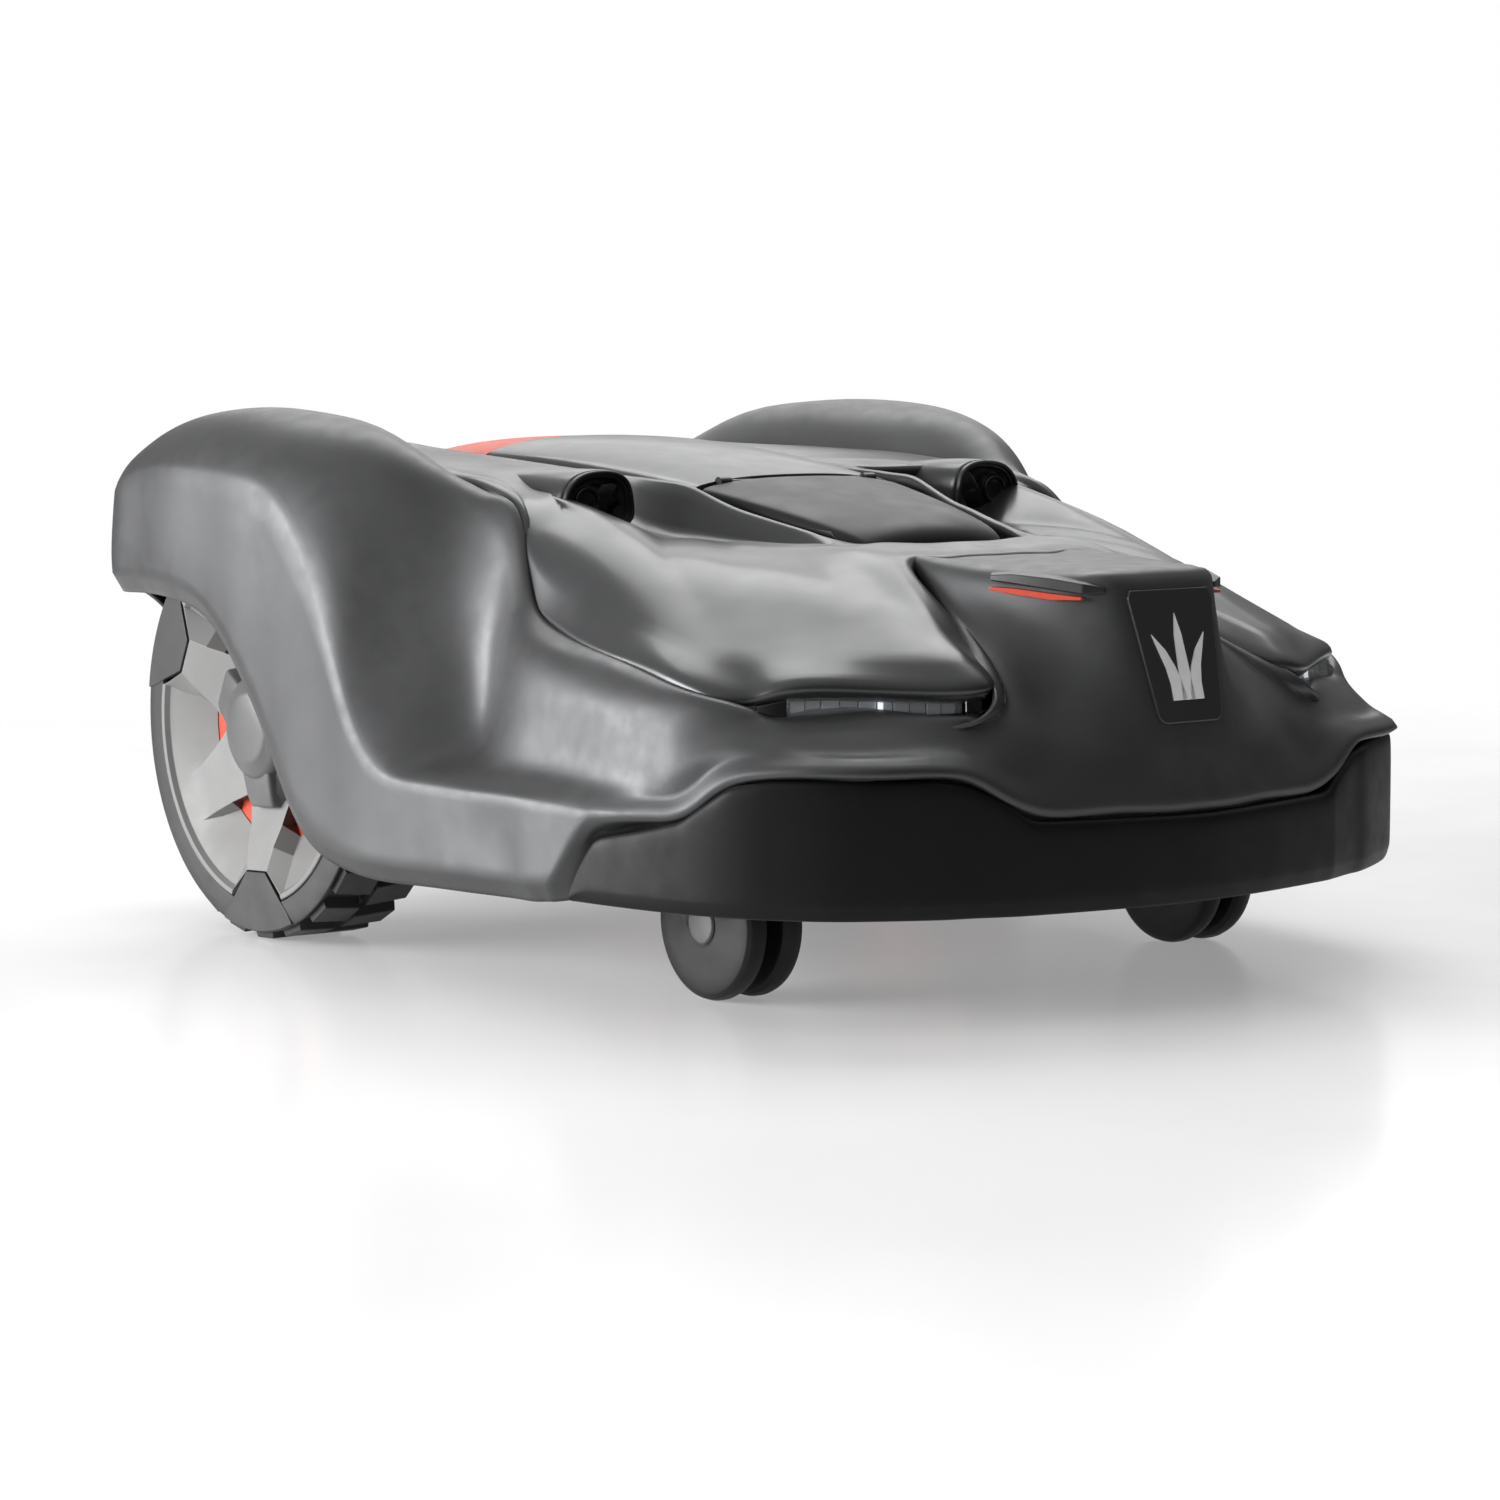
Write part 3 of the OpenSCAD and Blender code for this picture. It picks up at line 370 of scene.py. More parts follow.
# ---------------------------------------------------------------- outlines
# Ribs of the body, from the middle of the nose round the left side to the middle of the tail. Each rib
# runs from the bottom edge over the flange, the wall and the shoulder to the seam with the cover, and the
# ribs of the cover stand beside them, from the seam over the bonnet to the opening round the console.
BODY = [
    [(0, -343, 68), (0, -343, 107), (0, -353, 110), (0, -351, 121), (0, -348, 138), (0, -345, 152),
     (0, -327, 218), (0, -314, 230), (0, -262, 233), (0, -195, 232)],
    [(26, -342, 68), (26, -342, 107), (26, -352, 110), (26, -350, 121), (26, -347, 138), (25, -344, 152),
     (29, -326, 217), (30, -313, 229), (28, -262, 233), (26, -195, 232)],
    [(48, -339, 68), (48, -339, 108), (48, -349, 111), (46, -347, 122), (40, -344, 138), (36, -340, 152),
     (38, -321, 214), (46, -308, 226), (52, -262, 231), (46, -195, 232)],
    [(76, -335, 68), (76, -335, 108), (76, -345, 111), (72, -342, 123), (66, -338, 138), (58, -331, 152),
     (52, -312, 180), (56, -292, 204), (66, -250, 224), (60, -196, 231)],
    [(96, -331, 68), (96, -331, 109), (97, -341, 112), (92, -337, 124), (87, -331, 139), (82, -324, 152),
     (78, -308, 168), (77, -290, 184), (76, -262, 198), (74, -240, 207)],
    [(116, -326, 68), (117, -326, 117), (118, -337, 120), (112, -331, 130), (107, -327, 140),
     (103, -322, 150), (99, -316, 158), (97, -308, 166), (94, -300, 175), (90, -288, 183)],
    [(134, -320, 68), (134, -320, 128), (136, -331, 131), (130, -325, 138), (125, -320, 143),
     (120, -317, 149), (116, -316, 154), (113, -316, 158.5), (110, -316, 162), (106, -315, 164.5)],
    [(158, -312, 68), (158, -312, 132), (160, -323, 135), (155, -317, 140), (152, -310, 144),
     (151, -304, 149), (150, -298, 154.5), (150, -293, 158.5), (150, -288, 160.5), (150, -282, 160.5)],
    [(211, -276, 68), (211, -276, 133), (217, -281, 135), (212, -277, 140), (211, -270, 144),
     (209, -264, 149), (208, -258, 153.5), (206, -254, 157), (203, -250, 158.5), (200, -246, 158.5)],
    [(227, -246, 68), (227, -245, 125), (233, -248, 127), (229, -244, 137), (228, -242, 144),
     (225, -241, 150), (223, -241, 155), (221, -241, 159), (219, -241, 162), (216, -240, 164)],
    [(237, -224, 68), (237, -223, 109), (243, -226, 111), (240, -223, 121), (241, -222, 132),
     (239, -221, 142), (237, -221, 152), (235, -221, 160), (232, -222, 166), (229, -222, 169)],
    [(252, -152, 62), (250, -171, 98), (257, -187, 107), (253, -187, 115), (249, -186, 125),
     (247, -185, 140), (245, -185, 156), (241, -185, 168), (236, -186, 174), (231, -186, 176)],
    [(265, -138, 59), (264, -157, 92), (262, -168, 107), (258, -166, 114), (252, -163, 124),
     (249, -161, 142), (247, -160, 160), (242, -160, 172), (236, -160, 179), (230, -160, 181)],
    [(268, -120, 58), (268, -120, 88), (268, -120, 109), (263, -120, 115), (254, -119, 124),
     (249, -118, 145), (246, -116, 165), (240, -115, 180), (233, -115, 186), (227, -115, 188)],
    [(272, -60, 57), (272, -60, 88), (272, -60, 109), (266, -60, 115), (250, -58, 124), (241, -57, 148),
     (237, -57, 172), (231, -58, 190), (225, -60, 198), (219, -62, 201)],
    [(275, -20, 56), (275, -20, 88), (275, -20, 109), (268, -22, 116), (240, -25, 130), (227, -27, 157),
     (222, -28, 185), (218, -30, 206), (215, -34, 218), (211, -38, 224)],
    [(277, 12, 55), (277, 11, 88), (277, 10, 113), (270, 5, 122), (247, -2, 142), (230, -6, 172),
     (221, -8, 205), (212, -10, 232), (207, -12, 246), (201, -14, 255)],
    [(278, 36, 56), (278, 34, 95), (278, 33, 131), (270, 28, 143), (252, 20, 166), (237, 15, 195),
     (223, 11, 225), (212, 8, 248), (206, 6, 258), (200, 4, 263)],
    [(278, 66, 60), (278, 64, 120), (278, 63, 184), (271, 56, 197), (256, 47, 215), (241, 40, 235),
     (227, 35, 253), (214, 31, 264), (207, 30, 269), (199, 30, 268)],
    [(279, 108, 86), (279, 106, 160), (277, 104, 243), (270, 97, 257), (259, 89, 270), (246, 82, 281),
     (232, 76, 289), (216, 72, 289), (204, 68, 281), (196, 66, 270)],
    [(279, 136, 126), (279, 134, 195), (277, 132, 264), (269, 128, 279), (257, 123, 291), (243, 118, 299),
     (226, 113, 303), (210, 108, 298), (199, 104, 286), (190, 100, 273)],
    [(280, 166, 164), (280, 164, 215), (278, 162, 271), (270, 161, 286), (258, 159, 298), (243, 158, 306),
     (226, 157, 308), (208, 155, 304), (193, 153, 292), (182, 150, 275)],
    [(280, 204, 193), (280, 203, 230), (278, 203, 274), (270, 204, 289), (258, 206, 301), (243, 208, 308),
     (225, 210, 310), (206, 210, 307), (190, 208, 295), (178, 205, 276)],
    [(280, 250, 202), (280, 250, 236), (277, 250, 275), (269, 252, 287), (257, 255, 297), (242, 257, 304),
     (224, 259, 307), (205, 259, 305), (189, 257, 294), (176, 255, 277)],
    [(277, 297, 202), (277, 297, 234), (274, 297, 268), (266, 299, 279), (254, 302, 287), (240, 305, 294),
     (222, 308, 298), (203, 309, 298), (187, 307, 289), (174, 300, 276)],
    [(268, 324, 202), (268, 325, 226), (265, 326, 255), (258, 329, 265), (247, 333, 273), (234, 337, 280),
     (217, 339, 284), (199, 339, 285), (183, 334, 281), (170, 325, 274)],
    [(242, 344, 198), (242, 346, 216), (240, 347, 238), (235, 349, 249), (226, 350, 259), (216, 351, 267),
     (203, 351, 272), (188, 350, 274), (172, 344, 274), (158, 332, 271)],
    [(192, 352, 152), (192, 355, 180), (190, 355, 209), (187, 355, 229), (183, 355, 245), (177, 354, 257),
     (168, 352, 264), (156, 349, 268), (144, 341, 268), (132, 332, 266)],
    [(120, 356, 114), (120, 359, 150), (120, 359, 185), (118, 358, 212), (116, 356, 232), (112, 353, 246),
     (106, 348, 255), (99, 343, 260), (91, 337, 262), (83, 330, 262)],
    [(0, 358, 102), (0, 360, 140), (0, 360, 175), (0, 358, 205), (0, 355, 226), (0, 352, 242),
     (0, 347, 253), (0, 341, 259), (0, 335, 261), (0, 328, 261)],
]
COVER = [
    [(0, -192, 230), (0, -190, 233), (0, -183, 235), (0, -175, 236), (0, -167, 237), (0, -159, 238),
     (0, -152, 236)],
    [(26, -192, 230), (26, -190, 233), (26, -183, 235), (26, -175, 236), (27, -167, 237), (28, -159, 238),
     (29, -152, 236)],
    [(46, -192, 230), (47, -190, 233), (48, -183, 235), (50, -174, 236), (53, -165, 238), (56, -156, 239),
     (58, -149, 237)],
    [(64, -194, 228), (66, -192, 232), (70, -184, 235), (74, -172, 237), (75, -158, 239), (73, -144, 241),
     (69, -133, 240)],
    [(78, -239, 206), (81, -236, 210), (88, -222, 219), (93, -200, 227), (91, -172, 235), (84, -142, 241),
     (72, -118, 243)],
    [(94, -285, 182), (97, -281, 187), (104, -264, 198), (109, -230, 211), (106, -188, 226),
     (95, -142, 240), (74, -103, 246)],
    [(109, -309, 175), (111, -305, 179), (114, -292, 188), (120, -250, 203), (119, -195, 223),
     (104, -136, 241), (77, -88, 249)],
    [(158, -281, 174), (157, -278, 178), (153, -262, 188), (147, -218, 206), (137, -163, 228),
     (116, -105, 243), (80, -68, 253)],
    [(203, -247, 172), (201, -244, 176), (193, -226, 187), (176, -188, 207), (156, -134, 230),
     (128, -78, 247), (83, -45, 259)],
    [(211, -236, 168), (209, -233, 173), (202, -214, 187), (183, -178, 208), (160, -122, 233),
     (132, -66, 249), (85, -30, 264)],
    [(225, -219, 171), (222, -215, 177), (209, -196, 189), (190, -160, 211), (166, -104, 237),
     (136, -54, 252), (87, -15, 268)],
    [(228, -186, 178), (225, -184, 184), (212, -168, 195.9), (193, -138, 217.8), (168, -88, 240.5),
     (138, -42, 255), (88, 0, 269)],
    [(227, -160, 183), (223, -158, 189), (212, -145, 200.9), (194, -118, 222.6), (169, -74, 243.9),
     (140, -32, 257.9), (89, 12, 269.7)],
    [(224, -115, 190), (220, -113, 196), (212, -106, 209.9), (195, -86, 233.5), (170, -52, 251.5),
     (141, -18, 263), (90, 28, 270.6)],
    [(215, -62, 203), (213, -60, 209), (208, -56, 223.9), (194, -42, 245.5), (171, -18, 260.3),
     (142, 4, 269.3), (91, 45, 271.6)],
    [(207, -36, 226), (205, -34, 231), (202, -28, 242), (190, -15, 255.5), (169, 5, 266.2),
     (141, 25, 272.6), (91, 62, 272.6)],
    [(197, -12, 257), (195, -10, 260), (191, -3, 260.7), (182, 8, 262.2), (163, 25, 265.3),
     (138, 45, 268.8), (92, 80, 273.7)],
    [(196, 6, 264), (193, 8, 267), (187, 14, 267.7), (178, 24, 268.7), (160, 40, 270.5), (136, 60, 272.5),
     (92, 98, 274.7)],
    [(195, 31, 269), (192, 32, 272), (186, 36, 272.4), (177, 45, 273.1), (159, 60, 274.3),
     (134, 78, 275.3), (92, 114, 275.7)],
    [(192, 66, 271), (189, 67, 274), (183, 70, 274.4), (174, 78, 275), (156, 90, 276), (132, 106, 276.7),
     (92, 132, 276.7)],
    [(186, 100, 274), (183, 101, 277), (177, 104, 277.3), (168, 110, 277.7), (152, 120, 278.3),
     (129, 133, 278.6), (92, 150, 277.8)],
    [(178, 150, 276), (175, 150, 279), (169, 151, 279.3), (161, 153, 279.6), (146, 157, 280),
     (125, 162, 280.1), (92, 170, 278.9)],
    [(174, 205, 277), (171, 205, 280), (165, 205, 280.4), (157, 206, 280.9), (143, 207, 281.5),
     (123, 208, 281.9), (92, 210, 281.3)],
    [(172, 255, 277), (169, 254, 280), (163, 252, 280.5), (155, 250, 281.2), (141, 248, 282.3),
     (121, 246, 283.2), (92, 244, 283.3)],
    [(170, 299, 276), (167, 298, 279), (161, 294, 279.8), (153, 290, 280.8), (139, 285, 282.5),
     (120, 280, 284.1), (92, 276, 285.3)],
    [(166, 321, 274), (163, 318, 276), (157, 312, 277), (148, 307, 278.4), (134, 301, 280.4),
     (116, 297, 282.3), (92, 293, 284)],
    [(155, 328, 271), (152, 325, 274), (146, 319, 275), (138, 315, 276.4), (124, 310, 278.3),
     (108, 308, 279.9), (90, 306, 281)],
    [(130, 328, 267), (128, 325, 270), (123, 321, 271.3), (115, 317, 273.2), (104, 315, 275.5),
     (92, 313, 277.4), (78, 312, 279)],
    [(82, 326, 263), (81, 323, 266), (78, 319, 270), (73, 317, 273), (66, 315, 276), (59, 314, 278),
     (50, 313, 279)],
    [(0, 324, 262), (0, 321, 265), (0, 319, 269), (0, 317, 273), (0, 315, 276), (0, 314, 278),
     (0, 313, 279)],
]
BUMPER = [(0, -360, 106), (50, -356, 107), (104, -346, 108), (118, -342, 116), (138, -334, 127), (158, -327, 131),
          (200, -302, 132), (224, -277, 131), (238, -256, 127), (249, -230, 108), (256, -206, 102),
          (263, -173, 95), (265, -154, 65)]

# Trough in the cover ahead of each sensor: outer edge, outer floor and inner floor, for the ribs it crosses
TROUGH = {
    3: [(73, -160, 238), (71.5, -150, 238.5), (70, -141, 239)],
    4: [(81, -145, 238.5), (79.5, -142, 236), (75.5, -128, 236.5)],
    5: [(90, -127, 238.5), (87, -123, 235.5), (78.5, -109, 236.5)],
    6: [(99, -108, 239), (95.5, -105, 235.5), (83, -93, 237)],
    7: [(108, -92, 239), (104, -89, 235.5), (88, -74, 238)],
    8: [(116, -76, 239.5), (111.5, -72, 236), (94, -53, 239)],
    9: [(122, -63, 240), (117, -59, 236.5), (98, -39, 240)],
    10: [(128, -50, 240), (122.5, -45, 237), (101, -25, 241)],
    11: [(139, -41, 246.5), (131, -34, 240.5), (104, -11, 243)],
    12: [(152, -29, 254), (141, -20, 246), (108, -1, 246)],
    13: [(168, -15, 261.5), (158, -7, 258), (113, 20, 256)],
    14: [(164, 10, 266.8), (152, 18, 267.2), (114, 46, 269)],
}


# ---------------------------------------------------------------- shell
# Crease of a folded rib's own line
FOLD_CREASE = 0.85


def surface(name, ring, numbers, sharpness, slot, material, stands_for, fold=(None, 0)):
    """A skin on a ring of ribs, subdivided; sharpness(rib, rail) is the crease of each rail. A fold is a rib whose
    own line is creased too, as far as a rail."""
    count, rails = ring.shape[:2]
    sharp = np.array([[sharpness(number, j) for j in range(rails)] for number in numbers])
    cage = fitted(ring, sharp)
    thing = piece(name, cage.reshape(-1, 3).tolist(), grid_faces(count, rails, True), "shell", slot, material,
                  stands_for, False)

    def weight(a, b):
        if a % rails != b % rails:
            return FOLD_CREASE if numbers[a // rails] == fold[0] and max(a % rails, b % rails) <= fold[1] else 0
        return (sharp[a // rails, a % rails] + sharp[b // rails, b % rails]) / 2

    creased(thing, weight)
    walled(subdivided(thing), SHELL_WALL)


def unit_rows(v):
    """Each row as a unit vector."""
    return v / np.maximum(np.linalg.norm(v, axis=1), 1e-9)[:, None]


def along_ring(rail):
    """Unit tangents along a closed rail."""
    return unit_rows(np.roll(rail, -1, 0) - np.roll(rail, 1, 0))


def mellow(v, rounds=2):
    """Unit directions averaged with their neighbours round the ring."""
    for _ in range(rounds):
        v = unit_rows(v + 0.5 * (np.roll(v, 1, 0) + np.roll(v, -1, 0)))
    return v


def rim_of(seam, across):
    """A rail below the seam, at right angles to the skin there; across goes over the skin at the seam."""
    normal = np.cross(along_ring(seam), across)
    normal = mellow(normal * np.sign(normal[:, 2].sum()), 3)
    return seam - RIM_DEPTH * normal


# Spline ribs of each skin, and for each of its rails the stiffness and the rib up to which it keeps closer
BODY_COUNT = 180
BODY_STIFF = [0.004, 0.004, 0.004, 0.004, 0.1, 0.3, 0.4, 0.4, 0.2, 0.05]
BODY_CLOSE = [10.5] * 4 + [5.5] * 4 + [9.5] * 2
COVER_COUNT = 150
COVER_STIFF = [0.02, 0.02, 0.3, 30.0, 30.0, 0.02, 0.02, 0.05, 0.03]
COVER_CLOSE = [9.5] * 2 + [0] * 3 + [9.5] * 4
# The lip along the bottom edge starts at a rib behind the bumper
LIP_FROM = 11.2
LIP_HEIGHT = 9
LIP_DEPTH = 5
# How far the rims of the body and of the cover turn down into the seam between them
RIM_DEPTH = 6
# The flank's front edge beside the bumper's end: its rib, and the last rail that it crosses
CORNER = (12.0, 3)
# How many ribs on either side of a fold are changed, and over how many of them that fades in
FOLD_REACH = 1.2
FOLD_EASE = 0.5


def folded(ring, numbers, table, rib, last_rail):
    """Near a rib, on both sides, the first rails run straight between the table's ribs, so that they can fold."""
    ring, numbers = ring.copy(), numbers.copy()
    half = len(ring) // 2
    for start in (0, half):
        near = start + int(np.argmin(np.abs(numbers[start:start + half] - rib)))
        numbers[near] = rib
        for i in range(near - 12, near + 13):
            far = abs(numbers[i] - rib)
            if far >= FOLD_REACH:
                continue
            place = numbers[i] if start == 0 else len(table) - numbers[i]
            k = min(int(place), len(table) - 2)
            straight = table[k] + (table[k + 1] - table[k]) * (place - k)
            share = min(1, (FOLD_REACH - far) / FOLD_EASE)
            ring[i, :last_rail] += (straight[:last_rail] - ring[i, :last_rail]) * share
    return ring, numbers


def body_rails():
    """The ribs of the body with a chamfered lip along the bottom edge and a rim turned into the seam."""
    table = ring_of(BODY)
    ring, numbers = faired(table, BODY_COUNT, BODY_STIFF, BODY_CLOSE, (0, 1, 2, 3))
    ring, numbers = folded(ring, numbers, table, *CORNER)
    edge, above = ring[:, 0], ring[:, 1]
    tangent = along_ring(edge)
    up = above - edge
    up = mellow(unit_rows(up - (up * tangent).sum(1)[:, None] * tangent))
    inward = mellow(np.cross(up, tangent))
    inward *= np.sign((inward * -(edge * [1, 1, 0])).sum())
    share = np.clip(numbers - LIP_FROM, 0, 1)[:, None]
    lip = share * (edge + LIP_HEIGHT * up) + (1 - share) * (edge * 0.7 + above * 0.3)
    bottom = edge + share * LIP_DEPTH * inward
    rim = rim_of(ring[:, 9], ring[:, 9] - ring[:, 8])
    return np.concatenate([bottom[:, None], lip[:, None], ring[:, 1:], rim[:, None]], 1), numbers


def body_sharpness(rib, rail):
    """Rails: 0 bottom, 1 lip, 2 seat, 3 flange or side crease, 4 flange top, 5..10 wall to seam, 11 rim."""
    front = rib < LIP_FROM
    creases = {1: 0.3, 2: 0.9, 3: 0.7, 4: 0.5} if front else {1: 1.0, 3: 0.85, 4: 0.1}
    return creases.get(rail, 0.75 if rail == 10 else 0.0)


surface("shell_skin", *body_rails(), body_sharpness, "body_grey", BODY_GREY, ["body_shell"], CORNER)


# How far the raised rib round the console turns down on its inside
RIB_DEPTH = 8


def cover_rails():
    """The ribs of the cover: rim in the seam, edge, brow, crease, bonnet, trough, and the rib round the console."""
    table = ring_of(COVER)
    trough = np.zeros((len(table), 3, 3))
    for i, rib in enumerate(table):
        k = min(i, len(table) - i)
        if k in TROUGH:
            trough[i] = np.array(TROUGH[k], float) * [1 if i < len(table) / 2 else -1, 1, 1]
        else:
            trough[i] = [rib[5] + (rib[6] - rib[5]) * t for t in (0, 0.45, 0.85)]
    # The bonnet is faired as its swell above the straight line from its crease to its inner edge
    crease, inner_edge = table[:, 2], trough[:, 0]
    line = [crease + (inner_edge - crease) * t for t in (1 / 3, 2 / 3)]
    swell = np.stack([table[:, 3] - line[0], table[:, 4] - line[1]], 1)
    table = np.concatenate([table[:, :3], swell, trough, table[:, 6:]], 1)
    ring, numbers = faired(table, COVER_COUNT, COVER_STIFF, COVER_CLOSE)
    for j, t in ((3, 1 / 3), (4, 2 / 3)):
        ring[:, j] += ring[:, 2] + (ring[:, 5] - ring[:, 2]) * t
    rim = rim_of(ring[:, 0], ring[:, 1] - ring[:, 0])
    top = ring[:, 8]
    inboard = mellow(np.cross([0, 0, 1], along_ring(top)))
    inboard *= np.sign((inboard * -top * [1, 0, 0]).sum())
    inner = top + inboard
    down = inner - [0, 0, RIB_DEPTH]
    return np.concatenate([rim[:, None], ring, inner[:, None], down[:, None]], 1), numbers


def cover_sharpness(rib, rail):
    """Rails: 0 rim, 1 edge, 2 brow, 3 crease, 4 and 5 bonnet, 6 to 8 trough, 9 and 10 rib, 11 inside."""
    creases = {1: 0.8, 3: 0.75 if rib < 12 else max(0.2, 0.75 - 0.15 * (rib - 12)), 9: 0.85, 10: 0.85}
    if rib < 10:
        creases[2] = 0.4
    if 3.5 <= rib <= 13.0:
        creases.update({6: 0.95, 7: 0.8, 8: 0.6})
    return creases.get(rail, 0.0)


surface("cover_skin", *cover_rails(), cover_sharpness, "cover_grey", COVER_GREY, ["top_cover"])


def swept_through(a, b, c, d, t):
    """A smooth curve from b to c that comes from a and goes on to d."""
    return b + 0.5 * t * (c - a + t * (2 * a - 5 * b + 4 * c - d + t * (3 * (b - c) + d - a)))


def bumper():
    """Rubber bumper: a strip with rounded edges, low at its rear ends."""
    half = [BUMPER[0]]
    for k, (start, end) in enumerate(zip(BUMPER, BUMPER[1:])):
        before = BUMPER[k - 1] if k else (-end[0], end[1], end[2])
        after = BUMPER[min(k + 2, len(BUMPER) - 1)]
        for t in (0.25, 0.5, 0.75, 1):
            half.append([swept_through(before[n], start[n], end[n], after[n], t) for n in (0, 1)]
                        + [start[2] + (end[2] - start[2]) * t])
    line = [(-x, y, z) for x, y, z in half[:0:-1]] + half
    sections = []
    for i, (x, y, top) in enumerate(line):
        before, after = line[max(i - 1, 0)], line[min(i + 1, len(line) - 1)]
        along = Vector((after[0] - before[0], after[1] - before[1], 0)).normalized()
        out = Vector((along.y, -along.x, 0))
        place = Vector((x, y, 0))
        tall = top - BUMPER_LOW
        k = min(1, tall / 30)
        # Section from the foot of its back round the front to the top, as (out, up)
        shape = [(-BUMPER_DEPTH, 0), (-3.5, 0), (-1.8, 1.5 * k), (-0.2, 8 * k), (0, 11 * k), (0, tall * 0.6),
                 (-0.2, tall - 5 * k), (-1.2, tall - 1.6 * k), (-3, tall), (-BUMPER_DEPTH, tall)]
        sections.append([place + out * d + Vector((0, 0, BUMPER_LOW + h)) for d, h in shape])
    thing = piece("bumper_strip", *loft(sections), "shell", "black_rubber", BUMPER_BLACK, ["bumper"])
    columns = len(sections[0])
    sharp = {0: 1.0, 3: 0.7, 4: 0.3, 9: 1.0}

    def weight(a, b):
        if a // columns == b // columns:
            return 0.8 if a // columns in (0, len(sections) - 1) else 0
        return sharp.get(a % columns, 0)

    subdivided(creased(thing, weight))


bumper()


# ---------------------------------------------------------------- lamps
# Front line of a lamp, from its outer to its inner end, as (x, y)
LAMP_FRONT = [(207, -250), (186, -264.5), (160, -281), (137, -295.5), (116, -308.5)]


def lamp_path(inset, start, end, steps=12):
    """Points of the lamp's front line between two shares of its length, drawn in by an inset."""
    made = []
    for k in range(steps + 1):
        t = (start + (end - start) * k / steps) * (len(LAMP_FRONT) - 1)
        i = min(int(t), len(LAMP_FRONT) - 2)
        a, b = Vector(LAMP_FRONT[i]), Vector(LAMP_FRONT[i + 1])
        along = (b - a).normalized()
        inward = Vector((along.y, -along.x))
        if inward.y < 0:
            inward = -inward
        made.append((a.lerp(b, t - i) + inward * inset, inward))
    return made


def lamp_band(start, end, inset, depth, low, high, lean=0.0, steps=12):
    """A band that follows the lamp's front line; low and high are heights at its two ends."""
    sections = []
    path = lamp_path(inset, start, end, steps)
    for k, (place, inward) in enumerate(path):
        t = k / steps
        z0, z1 = low[0] + (low[1] - low[0]) * t, high[0] + (high[1] - high[0]) * t
        front_low = Vector((*place, z0))
        front_high = Vector((*(place + inward * lean), z1))
        back = Vector((*(inward * depth), 0))
        sections.append([front_low, front_high, front_high + back, front_low + back])
    return loft(sections)


# Dished cells of the reflector: their number, and shares of the lamp's length
CELLS = 10
CELL_START = 0.12
CELL_PITCH = 0.079
CELL_GAP = 0.006


def reflector():
    """A row of small dished cells behind the lens."""
    cells = []
    for k in range(CELLS):
        start, end = CELL_START + CELL_PITCH * k, CELL_START + CELL_PITCH * (k + 1) - CELL_GAP
        low, high = (160.5 + 0.1 * k, 160.6 + 0.1 * k), (171 + 0.4 * k, 171.4 + 0.4 * k)
        cells.append(lamp_band(start, end, 7 + 1.5 * (k % 2), 1.5, low, high, 2.5, 2))
    return joined(*cells)


def lamps():
    """Headlamps: lens, reflector, light bar, tray and both ends."""
    lens = lamp_band(0.1, 0.93, 0.5, 2.0, (159.8, 161.8), (170.5, 175), 2)
    light_bar = lamp_band(0.515, 0.54, 4.5, 2, (161, 161), (172, 172), 1, 2)
    tray = joined(lamp_band(0.0, 1.02, 0.5, 14, (157, 158.5), (159.4, 161.4)),
                  lamp_band(0.0, 1.02, 12, 2, (157, 158.5), (172, 176)))
    outer_end = lamp_band(-0.05, 0.1, 0.3, 8, (163.5, 158.6), (166, 169.4), 2, 4)
    inner_end = lamp_band(0.945, 1.04, 0.0, 8, (161, 162), (175, 172), 2, 4)
    for word, side in SIDES.items():
        for name, made, slot, finish, stands_for, *edge in (
                ("lens", lens, "clear_lens", LENS, ["headlamp_lenses"], 0.6),
                ("reflector", reflector(), "mirror_finish", MIRROR, ["headlamp_reflectors"], 0.4),
                ("led", light_bar, "clear_lens", LED, (), 0.5),
                ("tray", tray, "dark_plastic", DARK_PLASTIC, (), 0.4),
                ("outer_end", outer_end, "dark_plastic", BLACK_GLOSS, (), 0.6),
                ("inner_end", inner_end, "dark_plastic", BLACK_GLOSS, (), 1.6, 4)):
            moulding(f"headlamp_{name}_{word}", on_side(side, made), "shell", slot, finish, stands_for, *edge)


lamps()


# ---------------------------------------------------------------- nose
NOSE_LEAN = math.radians(15.6)
NOSE_PLACE = (-338.4, 186)


def slanted(out):
    """Puts (across, up) points on the nose plate's slope, a distance out from it."""
    y, z = NOSE_PLACE
    return lambda p: (p[0], y + p[1] * math.sin(NOSE_LEAN) - out * math.cos(NOSE_LEAN),
                      z + p[1] * math.cos(NOSE_LEAN) + out * math.sin(NOSE_LEAN))


def arc(centre, radius, start, steps=6):
    """A quarter of a circle, from an angle on."""
    turns = [math.radians(start + 90 * k / steps) for k in range(steps + 1)]
    return [(centre[0] + radius * math.cos(a), centre[1] + radius * math.sin(a)) for a in turns]


def blade_of_grass(lean, tall, foot):
    """A pointed blade that bends sideways as it rises, as an outline on the nose plate."""
    heights = (0, 0.25, 0.5, 0.75)
    left = [(foot - 5 + lean * t * t + 3.2 * t, -22 + tall * t) for t in heights]
    right = [(foot + 5 + lean * t * t - 3.2 * t, -22 + tall * t) for t in heights]
    return right + [(foot + lean, -22 + tall)] + left[::-1]


